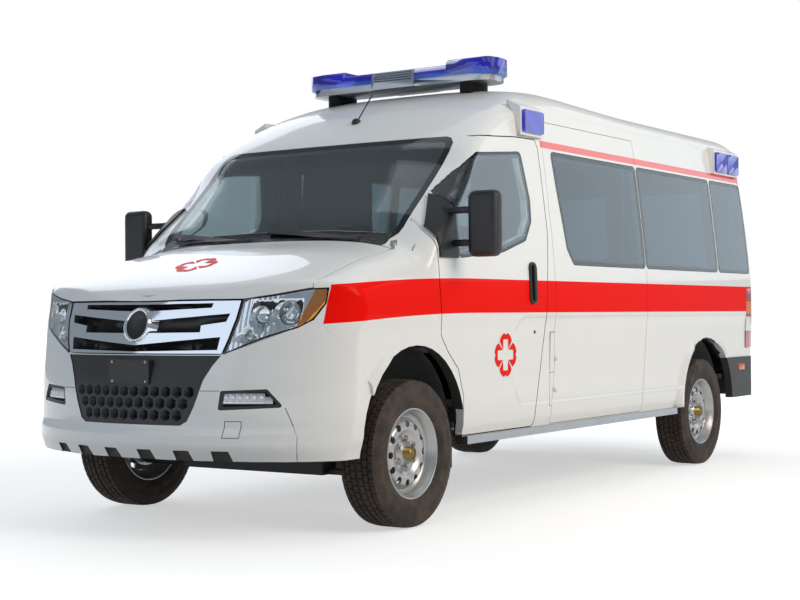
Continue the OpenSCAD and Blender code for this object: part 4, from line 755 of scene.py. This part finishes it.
# White diffuser of the bulbs and fog lamps, glossy under a clear skin
STRIP = plain("strip_diffuser", "#EEF2F4", 0.3, 4, 0.2, **{"Coat Weight": 0.8})
# Privacy glass of the load space: blue-grey, so that the inside shows dimly
GLASS = clear_plastic("privacy_glass", "#82929C", 0.022)
# Door glass and windscreen: nearly clear with a green tinge
DOOR_GLASS = clear_plastic("door_glass", "#DCE7E9", 0.014)
SCREEN = clear_plastic("windscreen_glass", "#DCEAE8", 0.034)
# Clear polycarbonate of lamp lenses and covers, bright and without tint
LENS = clear_plastic("clear_lens", "#F4F7F8", 0.0, 0.01, 1.58)
LAMP_COVER = clear_plastic("lamp_cover", "#F4F7F8", 0.007, 0.01, 1.58)
# Blue acrylic: the light bar is paler below, the beacons are deep all over
BAR_LENS = signal_lens("light_bar_lens", "#2E62D8", "#1006B8", 2.432, 315.83)
BEACON_LENS = signal_lens("beacon_lens", "#1A10C8", "#1A10C8", 3.0, 157.91)
REFLECTOR = lamp_reflector()
TAIL_LENS = tail_lens()

# Body panels, glass and nose trim

# Body panels and lids by finish place: the black rubber on the body's edge walls and on all rebates and
# grooves is partly seals and glue, partly painted shade that darkens the shut lines and grooves
BODY_LOOKS_WITH_GAP_SHADE = (ENAMEL, LINING, RUBBER_AND_GAP_SHADE, RUBBER_AND_GAP_SHADE, ENAMEL, ENAMEL)
LID_LOOKS_WITH_GAP_SHADE = (ENAMEL, LINING, ENAMEL, RUBBER_AND_GAP_SHADE, ENAMEL, BLACK_ABS)
for name in ("left_side", "right_side", "roof_panel", "front_wings", "front_bumper"):
    panel(name, BODY_LOOKS_WITH_GAP_SHADE)
for name in ("bonnet", "mid_panel", "sliding_door", "front_door_left", "front_door_right", "rear_door_left",
             "rear_door_right"):
    panel(name, LID_LOOKS_WITH_GAP_SHADE)
GLASS_T = 0.006
for name, pane in (
        ("windscreen", SCREEN), ("side_windows", GLASS), ("door_glass_left", DOOR_GLASS),
        ("door_glass_right", DOOR_GLASS), ("rear_glass_left", GLASS), ("rear_glass_right", GLASS)):
    panel(name, (pane, pane, FRIT, FRIT, FRIT, FRIT), inner_depth=GLASS_T, longest=0.03)
LENS_T = 0.004
panel("headlamp_lenses", (LAMP_COVER, LAMP_COVER, FRIT, FRIT, FRIT, FRIT), inner_depth=LENS_T, longest=0.02)
panel("upper_grille", (CHROME, BLACK_ABS, BLACK_ABS, BLACK_ABS, BLACK_ABS, CHROME), longest=0.05)
GRILLE_DEPTH = 0.003
panel("lower_grille", (BLACK_ABS,) * 6, depth=GRILLE_DEPTH, longest=0.05)
panel("fog_lamps", (BLACK_ABS,) * 6, depth=GRILLE_DEPTH, longest=0.05)

for name, finish in {
        "headlamps": REFLECTOR, "plate_carrier": BLACK_ABS, "tail_lamps": TAIL_LENS,
        "light_bar_lenses": BAR_LENS, "side_beacons": ENAMEL, "beacon_lenses": BEACON_LENS,
        "rear_bumper": GREY_ABS, "sill_trims": ALUMINIUM, "mud_flaps": RUBBER_AND_GAP_SHADE, "arch_liners": BLACK_ABS,
        "dashboard": GREY_ABS, "bulkhead": LINING, "engine": IRON, "front_axle": FRAME_PAINT,
        "rear_axle": FRAME_PAINT, "fuel_tank": BLACK_ABS, "exhaust": EXHAUST, "wipers": BLACK_ABS,
        "roof_aerial": BLACK_ABS, "steering_wheel": BLACK_ABS, "knuckle_left": IRON, "knuckle_right": IRON,
        "floor_pan": FRAME_PAINT, "chassis_frame": FRAME_PAINT}.items():
    rounded_node(name, finish)

# Light bar: its feet lie below this height, and the speaker stands in the middle above the base
BAR_LOW, BASE_TOP, SPEAKER_HALF = 2.3719, 2.4081, 0.1505


def bar_finish(c, n):
    """Which parts of the light bar are base, speaker or feet."""
    if c.z < BAR_LOW:
        return 2
    return 1 if abs(c.x) < SPEAKER_HALF and c.z > BASE_TOP else 0


rounded_node("light_bar", ALUMINIUM, SPEAKER, BLACK_ABS, pick=bar_finish)

# Lamps: bowls and projectors in the housings, cells in the fog lamps

# Where the search for a point of the nose starts, and how many steps it takes
NOSE_NEAR, NOSE_STEPS = -2.6, 14


def nose_point(x, z, depth):
    """The point of the nose at a place in front view and at a depth, and its outward direction."""
    p = np.array([[x, NOSE_NEAR, z]])
    for _ in range(NOSE_STEPS):
        d, n = body_form(p)
        p[0, 1] -= (d[0] + depth) / n[0, 1]
    return Vector(p[0]), Vector(body_form(p)[1][0])


def quarter_turn(count):
    """Angles over a quarter turn."""
    return np.linspace(0, math.pi / 2, count)


# Bowls: x, height, radius, with a projector or with a bare bulb
BOWLS = ((0.746, 1.0448, 0.052, True), (0.636, 1.0356, 0.040, False), (0.590, 0.9438, 0.026, False))
BOWL_UNDER, BOWL_DEPTH, BOWL_STEPS, BULB_STEPS = 0.050, 0.026, 28, 16
# Turned profiles, as radius and height: a bowl's lip with radii as shares, the projector's ring, a bulb
LIP_SHARES = ((0.96, 0.027), (0.94, 0.024))
RING = [(0.0, 0.016), (0.034, 0.016), (0.036, 0.020), (0.036, 0.026), (0.033, 0.028)]
BULB = [(0.0, 0.0), (0.006, 0.0), (0.006, 0.018), (0.004, 0.022), (0.0, 0.023)]
# The projector's lens: radius, foot, rim, crown above the rim
LENS_R, LENS_FOOT, LENS_RIM, LENS_CROWN = 0.032, 0.020, 0.027, 0.014
bm = bmesh.new()
for side in (-1, 1):
    for x, z, r, projector in BOWLS:
        foot, out = nose_point(side * x, z, BOWL_UNDER)
        ahead = (out + Vector((0, -1, 0))).normalized()
        dish = [(r * math.sin(a), BOWL_DEPTH * (1 - math.cos(a))) for a in quarter_turn(9)]
        dish += [(r * share, h) for share, h in LIP_SHARES]
        add_spin(bm, dish, foot, ahead, BOWL_STEPS, 0)
        if projector:
            add_spin(bm, RING, foot, ahead, BOWL_STEPS, 0)
            dome = [(0.0, LENS_FOOT), (LENS_R, LENS_FOOT)]
            dome += [(LENS_R * math.cos(a), LENS_RIM + LENS_CROWN * math.sin(a)) for a in quarter_turn(7)]
            add_spin(bm, dome, foot, ahead, BOWL_STEPS, 1)
        else:
            add_spin(bm, BULB, foot, ahead, BULB_STEPS, 2)
built(bm, "lamp_bowls", "body", [MIRROR, LENS, STRIP])

# Fog lamps: silvered cells side by side, each with a small lens and a bright bar; the last is low and bare
CELLS, CELL_FROM, CELL_STEP, CELL_H, CELL_MIDDLE = 7, 0.514, 0.031, 0.050, 0.660
CELL_UNDER, CELL_T, CELL_OVER = 0.013, 0.006, 0.004
LAST_DROP, LAST_CUT = 0.008, 0.016
FOG_DOME = [(0.0, 0.0085), (0.004, 0.008), (0.0075, 0.006), (0.0095, 0.003), (0.010, 0.001)]
FOG_DOME_UP, STRIPE_DOWN, STRIPE_OUT = 0.004, 0.0165, 0.004
STRIPE_SIZE = (CELL_STEP + 0.002, 0.005, 0.004)
bm = bmesh.new()
for side in (-1, 1):
    for i in range(CELLS):
        last = i == CELLS - 1
        middle = CELL_MIDDLE - (LAST_DROP if last else 0)
        spot, out = nose_point(side * (CELL_FROM + CELL_STEP * i), middle, CELL_UNDER)
        level = Vector((-out.y, out.x, 0)).normalized()
        up = out.cross(level)
        size = (CELL_STEP + CELL_OVER, CELL_H - (LAST_CUT if last else 0), CELL_T)
        add_block(bm, spot, size, (level, up, out), 0.002, 0)
        if not last:
            add_spin(bm, FOG_DOME, spot + up * FOG_DOME_UP, out, 20, 1)
            low = spot - up * STRIPE_DOWN + out * STRIPE_OUT
            add_block(bm, low, STRIPE_SIZE, (level, up, out), 0.001, 2)
built(bm, "fog_cells", "body", [ALUMINIUM, STRIP, CHROME])

# Four bolts through the plate carrier's holes
PLATE_FRONT, PLATE_H, BOLT_X, BOLT_Z = -2.7168, 0.77865, 0.105, 0.045
BOLT = [(0.0, 0.0045), (0.004, 0.004), (0.0068, 0.0022), (0.0075, 0.0), (0.0032, -0.001), (0.0032, -0.008)]
bm = bmesh.new()
for x in (-BOLT_X, BOLT_X):
    for z in (-BOLT_Z, BOLT_Z):
        add_spin(bm, BOLT, (x, PLATE_FRONT, PLATE_H + z), (0, -1, 0), 20)
built(bm, "plate_bolts", "body", [ZINC])

# Generic rosettes in red film on the bonnet and the front doors: four petals round an open cross

PETAL_STEPS, PETAL_HALF_ANGLE = 24, math.radians(41)
# Shares of a rosette's radius: outer line between the petals, notch at a tip, cross's arm and half width
PETAL_ROOT, PETAL_NOTCH, CROSS_ARM, CROSS_HALF = 0.74, 0.10, 0.70, 0.22


def rosette(name, body, middle, radius, lift=0.0012):
    """Four petals of thin film laid on the form around an open cross."""
    spot, out, level, up = stand_on_form(middle)
    bm = bmesh.new()
    for quarter in range(4):
        rows = []
        for share in (0.0, 0.5, 1.0):
            row = []
            for a in np.linspace(-PETAL_HALF_ANGLE, PETAL_HALF_ANGLE, PETAL_STEPS):
                lobe = PETAL_ROOT + (1 - PETAL_ROOT) * math.cos(2 * a) ** 0.6
                lobe -= PETAL_NOTCH * math.exp(-(a / math.radians(5)) ** 2)
                inner = min(CROSS_ARM / math.cos(a), CROSS_HALF / max(abs(math.sin(a)), 1e-6))
                r = radius * (inner + (lobe - inner) * share)
                turn = a + quarter * math.pi / 2
                row.append(spot + level * (r * math.cos(turn)) + up * (r * math.sin(turn)))
            rows.append(onto_form(np.array(row), -lift))
        add_rows(bm, rows, closed=False)
    bmesh.ops.recalc_face_normals(bm, faces=bm.faces)
    turned = [f for f in bm.faces if f.normal.dot(out) < 0]
    bmesh.ops.reverse_faces(bm, faces=turned)
    built(bm, name, body, [RED_FILM], 60)


ROSETTE_R, DOOR_X = 0.118, 0.99
rosette("bonnet_rosette", "bonnet", (0, FRONT_AXLE - 0.489, 1.29), ROSETTE_R)
for word, side in (("left", 1), ("right", -1)):
    middle = (side * DOOR_X, FRONT_AXLE + 0.842, 0.816)
    rosette("door_rosette_" + word, "front_door_" + word, middle, ROSETTE_R)

# Door fittings: corner plate from the CAD, with a moulded mirror on two arms and a cupped handle

MIRROR_X, MIRROR_Y, MIRROR_LOW = 1.085, FRONT_AXLE + 0.330, 1.318
MIRROR_SIZE = (0.170, 0.090, 0.330)
ARM_HEIGHTS = (MIRROR_LOW + 0.072, MIRROR_LOW + 0.237)
HANDLE_Y, HANDLE_MIDDLE, HANDLE_SIZE = FRONT_AXLE + 1.125, 1.200, (0.076, 0.230)
# Rings of the handle's cup: how far in from the edge, how far out of the skin
HANDLE_RINGS = ((0.0, -0.004), (0.0, 0.008), (0.003, 0.011), (0.008, 0.012), (0.012, 0.010),
                (0.016, 0.002), (0.022, 0.0))
GRIP_SIZE, GRIP_OUT = (0.022, 0.020, 0.196), 0.013
LOCK_BEHIND, LOCK_H = 0.034, 0.933
LOCK = [(0.0, 0.003), (0.008, 0.003), (0.010, 0.001), (0.010, -0.002)]


def pill(half_w, half_h, steps=10):
    """Points around an upright pill."""
    arc = [math.pi * i / steps for i in range(steps + 1)]
    top = [(half_w * math.cos(a), half_h - half_w + half_w * math.sin(a)) for a in arc]
    return top + [(-x, -y) for x, y in top]


def handle(bm, side):
    """A cupped door handle with an upright grip."""
    spot, out, level, up = stand_on_form((side * DOOR_X, HANDLE_Y, HANDLE_MIDDLE))
    rows = []
    for inset, height in HANDLE_RINGS:
        ring = pill(HANDLE_SIZE[0] / 2 - inset, HANDLE_SIZE[1] / 2 - inset)
        rows.append([spot + level * u + up * v + out * height for u, v in ring])
    bm.faces.new(add_rows(bm, rows)[-1])
    bmesh.ops.recalc_face_normals(bm, faces=bm.faces)
    add_block(bm, spot + out * GRIP_OUT, GRIP_SIZE, (level, out, up), 0.008, 0, 4)
    lock, out, _, _ = stand_on_form((side * DOOR_X, HANDLE_Y + LOCK_BEHIND, LOCK_H))
    add_spin(bm, LOCK, lock, out, 24, 0)


# The corner plate stands out this far; its outer edge and how far behind the mirror it ends
PLATE_OUT, PLATE_X, PLATE_BEHIND = 0.0125, 1.004, 0.2
ARM_X, ARM_SIZE = 1.028, (0.150, 0.034, 0.034)
MIRROR_GLASS = (0.128, 0.006, 0.286)


def lay_plate(bm):
    """The corner plate's outer face laid on the form with its own thickness."""
    outer = bm.faces.layers.int.new("outer")
    for f in bm.faces:
        n = body_form(np.array([f.calc_center_median()]))[1][0]
        f[outer] = SKIN if f.normal.dot(Vector(n)) > 0.6 else 0
    refine(bm, outer, 0.05)
    lay(bm, outer, ((SKIN, -PLATE_OUT),))


for word, side in (("left", 1), ("right", -1)):
    node = "door_fittings_" + word
    bm = merged_copy(node)
    gone = []
    for f in bm.faces:
        c = f.calc_center_median()
        if abs(c.x) > PLATE_X or c.y > MIRROR_Y + PLATE_BEHIND:
            gone.append(f)
    bmesh.ops.delete(bm, geom=gone, context="FACES")
    lay_plate(bm)
    for z in ARM_HEIGHTS:
        add_block(bm, (side * ARM_X, MIRROR_Y, z), ARM_SIZE, bevel=0.011)
    centre = (side * (MIRROR_X + MIRROR_SIZE[0] / 2), MIRROR_Y, MIRROR_LOW + MIRROR_SIZE[2] / 2)
    add_block(bm, centre, MIRROR_SIZE, bevel=0.036, segments=6)
    glass_y = MIRROR_Y + MIRROR_SIZE[1] / 2 - 0.001
    add_block(bm, (centre[0], glass_y, centre[2]), MIRROR_GLASS, bevel=0.0025, mat=1)
    handle(bm, side)
    stand_in(bm, node, [BLACK_ABS, MIRROR], 40)

# Painted stops on the pillar behind the left door, and amber reflectors on the rear bumper
STOPS = ((0.98, FRONT_AXLE + 1.404, 0.784), (0.98, FRONT_AXLE + 1.394, 0.610))
STOP = [(0.0, 0.014), (0.009, 0.013), (0.014, 0.008), (0.017, 0.0), (0.017, -0.002)]
REFLECTOR_X, REFLECTOR_BEHIND, REFLECTOR_H = 0.9955, 0.63, 0.645
REFLECTOR_SIZE = (0.008, 0.110, 0.044)
bm = bmesh.new()
for place_at in STOPS:
    spot, out, _, _ = stand_on_form(place_at)
    add_spin(bm, STOP, spot, out, 24)
built(bm, "pillar_stops", "body", [ENAMEL])
bm = bmesh.new()
for side in (-1, 1):
    spot = (side * REFLECTOR_X, REAR_AXLE + REFLECTOR_BEHIND, REFLECTOR_H)
    add_block(bm, spot, REFLECTOR_SIZE, bevel=0.003)
built(bm, "side_reflectors", "body", [AMBER])

# Grab handle inside the passenger's windscreen pillar: its two feet, and how far it stands off
HANDLE_FEET = Vector((-0.770, FRONT_AXLE + 0.42, 1.640)), Vector((-0.830, FRONT_AXLE + 0.25, 1.440))
STAND_OFF, BAR_R, BAR_STEPS, BAR_SIDES = Vector((0.050, 0.070, 0.0)), 0.013, 16, 12
bm = bmesh.new()
rings = []
for share in np.linspace(0, 1, BAR_STEPS + 1):
    middle = HANDLE_FEET[0].lerp(HANDLE_FEET[1], share) + STAND_OFF * math.sin(math.pi * share) ** 0.6
    turns = np.linspace(0, FULL_TURN, BAR_SIDES, endpoint=False)
    rings.append([middle + BAR_R * Vector((math.cos(a), math.sin(a), math.sin(a) / 2)) for a in turns])
rings = add_rows(bm, rings)
for end in (rings[0], rings[-1]):
    bm.faces.new(end)
bmesh.ops.recalc_face_normals(bm, faces=bm.faces)
built(bm, "grab_handle", "body", [GREY_ABS], 60)

# Seats: padded cushions with sewn channels on a pedestal

SEAT_X, SEAT_FRONT, SEAT_LEAN = 0.430, FRONT_AXLE + 0.860, math.radians(12)
SEAT_H, SEAT_MIDDLE, BACK_ROOT, BACK_BEHIND = 0.815, 0.245, 0.380, 0.06
BASE_SIZE, BACK_SIZE, REST_SIZE = (0.5, 0.49, 0.13), (0.5, 0.115, 0.56), (0.26, 0.088, 0.165)
BACK_UP, REST_UP, POST_UP = 0.335, 0.685, 0.5
PEDESTAL_SIZE, PEDESTAL_MIDDLE, PEDESTAL_H = (0.333, 0.44, 0.147), 0.25, 0.674
BACK_FRAME, FRAME_BEHIND, FRAME_UP = (0.40, 0.03, 0.60), 0.07, 0.30
POST, POST_X = [(0.006, 0.0), (0.006, 0.16)], 0.06
CHANNELS = (-0.45, 0.45)
# A pad's thickness at the edge and what its crown adds, how far its sides pull in, its channels
PAD_EDGE, PAD_CROWN = 0.58, 0.42
SIDE_PULL, ROUND_PULL = 0.05, 0.10
CHANNEL_DEPTH, CHANNEL_HALF = 0.09, 0.07


def cushion(name, centre, size, axes, channels):
    """A crowned pad whose sides pull in between the corners, with sewn channels across its width."""
    bm = bmesh.new()
    bmesh.ops.create_cube(bm, size=2.0)
    bmesh.ops.subdivide_edges(bm, edges=bm.edges, cuts=11, use_grid_fill=True)
    half = [s / 2 for s in size]
    thin = min(range(3), key=lambda i: size[i])
    wide = [i for i in range(3) if i != thin]
    turn = Matrix([Vector(a) for a in axes]).transposed()
    for v in bm.verts:
        share = list(v.co)
        u, w = (share[i] for i in wide)
        crown = PAD_EDGE + PAD_CROWN * (1 - abs(u) ** 3) * (1 - abs(w) ** 3)
        pull = 1 - SIDE_PULL * (1 - min(abs(u), abs(w)) ** 2) - ROUND_PULL * abs(share[thin]) ** 4
        groove = sum(math.exp(-((u - c) / CHANNEL_HALF) ** 2) for c in channels)
        share[thin] *= crown - CHANNEL_DEPTH * groove
        for i in wide:
            share[i] *= pull
        v.co = Vector(centre) + turn @ Vector([s * h for s, h in zip(share, half)])
    piece = built(bm, name, "body", [CLOTH], 180)
    soft = piece.modifiers.new("soft", "SUBSURF")
    soft.levels = soft.render_levels = 1


lean_y = Vector((0, math.cos(SEAT_LEAN), -math.sin(SEAT_LEAN)))
lean_z = Vector((0, math.sin(SEAT_LEAN), math.cos(SEAT_LEAN)))
SQUARE = (Vector((1, 0, 0)), Vector((0, 1, 0)), Vector((0, 0, 1)))
LEANING = (Vector((1, 0, 0)), lean_y, lean_z)
bm = bmesh.new()
for word, x in (("left", SEAT_X), ("right", -SEAT_X)):
    root = Vector((x, SEAT_FRONT + BACK_ROOT, SEAT_H))
    back = root + lean_y * BACK_BEHIND
    cushion("seat_base_" + word, (x, SEAT_FRONT + SEAT_MIDDLE, SEAT_H), BASE_SIZE, SQUARE, CHANNELS)
    cushion("seat_back_" + word, back + lean_z * BACK_UP, BACK_SIZE, LEANING, CHANNELS)
    cushion("head_rest_" + word, back + lean_z * REST_UP, REST_SIZE, LEANING, ())
    add_block(bm, (x, SEAT_FRONT + PEDESTAL_MIDDLE, PEDESTAL_H), PEDESTAL_SIZE, bevel=0.008)
    for dx in (-POST_X, POST_X):
        add_spin(bm, POST, back + Vector((dx, 0, 0)) + lean_z * POST_UP, lean_z, 12, 1)
    add_block(bm, root + lean_y * FRAME_BEHIND + lean_z * FRAME_UP, BACK_FRAME, LEANING, 0.01)
frames = built(bm, "seat_frames", "body", [GREY_ABS, ZINC])
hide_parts("front_seats")

# Wheels

TYRE_BEAD, TYRE_R, TYRE_HALF_W = 0.2068, 0.360, 0.107
# Half of a tyre's outer line and of its inner one: share of the section's height, share of the half width
SIDEWALL_SHARES = (
    (0.0, .52), (0.0, .70), (.096, .735), (.10, .83), (.18, .90), (.30, .965), (.33, .966), (.34, .975),
    (.36, .976), (.37, .970), (.51, .995), (.62, .985), (.64, .990), (.68, .985), (.70, .972), (.80, .935),
    (.86, .895))
INNER_SHARES = ((.88, .55), (.80, .76), (.52, .86), (.18, .74))
# Ribs of the tread: from, to, as shares of the half width; the floor between them
RIBS = ((.62, .86), (.34, .585), (.06, .305))
TREAD_STEPS, TREAD_DEPTH, BLOCK_GAP, TREAD_SPARE = 60, 0.0085, 0.0026, 0.0005
# The tread's vertices and faces lie above these shares of the section's height
TREAD_SHARE, SHOULDER_SHARE = 0.9, 0.885
# How the tread falls from half its width on
SHOULDER_FROM, SHOULDER_FALL, SHOULDER_POWER = 0.5, 0.030, 1.7


def tread_floor(share):
    """Radius of the groove floor across the tread, which falls towards the shoulders."""
    fall = SHOULDER_FALL * max(abs(share) - SHOULDER_FROM, 0) ** SHOULDER_POWER
    return TYRE_R - TREAD_DEPTH - TREAD_SPARE - fall


def tyre(corner, side, y):
    """A tyre with staggered tread blocks raised from its groove floor."""
    height = TYRE_R - TYRE_BEAD
    half, inner = ([(TYRE_BEAD + h * height, w * TYRE_HALF_W) for h, w in shares]
                   for shares in (SIDEWALL_SHARES, INNER_SHARES))
    edges = [e for rib in RIBS for e in (rib[1], rib[0])]
    half += [(tread_floor(e), e * TYRE_HALF_W) for e in edges]
    outer = half + [(r, -w) for r, w in reversed(half)]
    profile = outer + [(r, -w) for r, w in reversed(inner)] + inner
    centre = Vector((side * TRACK_HALF, y, HUB_H))
    bm = bmesh.new()
    add_spin(bm, profile, centre, (1, 0, 0), TREAD_STEPS, closed=True)
    stagger = Matrix.Rotation(math.pi / TREAD_STEPS, 4, "X")
    blocks = []
    for v in bm.verts:
        across = abs(v.co.x - centre.x) / TYRE_HALF_W
        radius = math.hypot(v.co.y - centre.y, v.co.z - centre.z)
        if RIBS[1][0] - 0.01 < across < RIBS[1][1] + 0.01 and radius > TYRE_BEAD + TREAD_SHARE * height:
            v.co = centre + stagger @ (v.co - centre)
    for f in bm.faces:
        c = f.calc_center_median()
        across = abs(c.x - centre.x) / TYRE_HALF_W
        radius = math.hypot(c.y - centre.y, c.z - centre.z)
        if radius > TYRE_BEAD + SHOULDER_SHARE * height and any(a < across < b for a, b in RIBS):
            blocks.append(f)
    bmesh.ops.inset_individual(
        bm, faces=blocks, thickness=BLOCK_GAP, depth=TREAD_DEPTH, use_even_offset=True)
    stand_in(bm, "tyre_" + corner, [TYRE_RUBBER], 30)


# A rim's hub cap: radius, and how far out it starts; its nuts: ring, half size, how far out they start
CAP_R, CAP_OUT = 0.0345, 0.049
NUT_RING, NUT_HALF, NUT_OUT = 0.075, 0.0145, 0.0385


def rim_finish(side, y):
    """Which parts of a rim are cap, nuts or painted steel."""
    def pick(c, n):
        radius = math.hypot(c.y - y, c.z - HUB_H)
        out = side * c.x - TRACK_HALF
        if radius < CAP_R and out > CAP_OUT:
            return 1
        return 2 if abs(radius - NUT_RING) < NUT_HALF and out > NUT_OUT else 0
    return pick


for corner, side, y in (("front_left", 1, FRONT_AXLE), ("front_right", -1, FRONT_AXLE),
                        ("rear_left", 1, REAR_AXLE), ("rear_right", -1, REAR_AXLE)):
    rounded_node("rim_" + corner, WHEEL_PAINT, BRASS, ZINC, pick=rim_finish(side, y))
    tyre(corner, side, y)

# Camera at the photograph's angle, fitted to its 800 x 600 pixels
CAMERA_AT = Vector((4.956, -7.832, 1.031))
FOCAL_PX, IMAGE_W = 1501.5, 800
YAW, PITCH, ROLL = (math.radians(a) for a in (33.83, 0.58, -0.46))
SENSOR_MM = 36.0


def photo_camera():
    """The camera, turned by yaw, pitch and roll."""
    ahead = Vector((-math.sin(YAW) * math.cos(PITCH), math.cos(YAW) * math.cos(PITCH), math.sin(PITCH)))
    level = Vector((math.cos(YAW), math.sin(YAW), 0))
    upright = level.cross(ahead)
    right = math.cos(ROLL) * level + math.sin(ROLL) * upright
    up = math.cos(ROLL) * upright - math.sin(ROLL) * level
    data = bpy.data.cameras.new("photo_camera")
    data.sensor_width = SENSOR_MM
    data.lens = FOCAL_PX / IMAGE_W * SENSOR_MM
    camera = bpy.data.objects.new("photo_camera", data)
    camera.matrix_world = Matrix.Translation(CAMERA_AT) @ Matrix((right, up, -ahead)).transposed().to_4x4()
    bpy.context.scene.collection.objects.link(camera)
    bpy.context.scene.camera = camera


# The floor's half size, its lift beside the object, and how far away it has grown to white
FLOOR_HALF, FLOOR_LIFT, FLOOR_NEAR, FLOOR_FAR = 60, 0.55, 3.0, 9.0


def pale_floor():
    """Pale studio floor that the camera sees nearly white, with the object's shadow kept."""
    made, tree, shader, place = material("pale_floor", {
        "Base Color": "#C8C8C6", "Roughness": 0.9, "Emission Color": "#FFFFFF"})
    away = add(tree, "VectorMath", (place,), "Value", operation="LENGTH")
    lift = add(tree, "MapRange", {"Value": away, "From Min": FLOOR_NEAR, "From Max": FLOOR_FAR,
                                  "To Min": FLOOR_LIFT, "To Max": 1.0})
    path = add(tree, "LightPath", {}).node.outputs
    seen = path["Is Camera Ray"]
    for ray in ("Is Glossy Ray", "Is Transmission Ray"):
        seen = add(tree, "Math", (seen, path[ray]), operation="MAXIMUM")
    lift = add(tree, "Math", (seen, lift), operation="MULTIPLY")
    tree.links.new(lift, shader["Emission Strength"])
    bm = bmesh.new()
    bmesh.ops.create_grid(bm, x_segments=1, y_segments=1, size=FLOOR_HALF)
    floor = bpy.data.objects.new("floor", mesh_from(bm, "floor"))
    floor.data.materials.append(made)
    bpy.context.scene.collection.objects.link(floor)


# Large soft lights: place, size, power in watts, colour
LIGHTS = {
    "key": ((9.0, -1.0, 5.5), 5.0, 500, "#FFF3E4"),
    "front": ((-3.0, -10.0, 4.0), 7.0, 140, "#E3EEFF"),
    "top": ((0.5, 1.5, 8.5), 7.0, 100, "#F4F8FF"),
    "rear_card": ((5.6, 10.2, 4.9), 6.0, 190, "#DCE9F2"),
    "far_side": ((-8.0, 3.0, 5.0), 6.0, 220, "#F0F5FF")}


def studio_light():
    """A soft pale world and large area lights."""
    scene = bpy.context.scene
    world = bpy.data.worlds.new("studio")
    scene.world = world
    world.use_nodes = True
    tree = world.node_tree
    tree.nodes.clear()
    seen = add(tree, "LightPath", {}, "Is Camera Ray")
    strength = add(tree, "MapRange", {"Value": seen, "To Min": 0.42, "To Max": 1.0})
    colour = add(tree, "Mix", {SHARE: seen, FIRST: "#DCE8F4", SECOND: "#FFFFFF"}, MIXED, data_type="RGBA")
    shade = add(tree, "Background", {"Color": colour, "Strength": strength})
    add(tree, "OutputWorld", {"Surface": shade})
    for name, (spot, size, power, tint) in LIGHTS.items():
        data = bpy.data.lights.new(name, "AREA")
        data.energy, data.size = power, size
        data.color = linear(tint)[:3]
        lamp = bpy.data.objects.new(name, data)
        lamp.location = spot
        lamp.rotation_euler = (Vector((0, 0, 1)) - Vector(spot)).to_track_quat("-Z", "Y").to_euler()
        scene.collection.objects.link(lamp)


photo_camera()
pale_floor()
studio_light()
bpy.context.scene.view_settings.view_transform = "Standard"
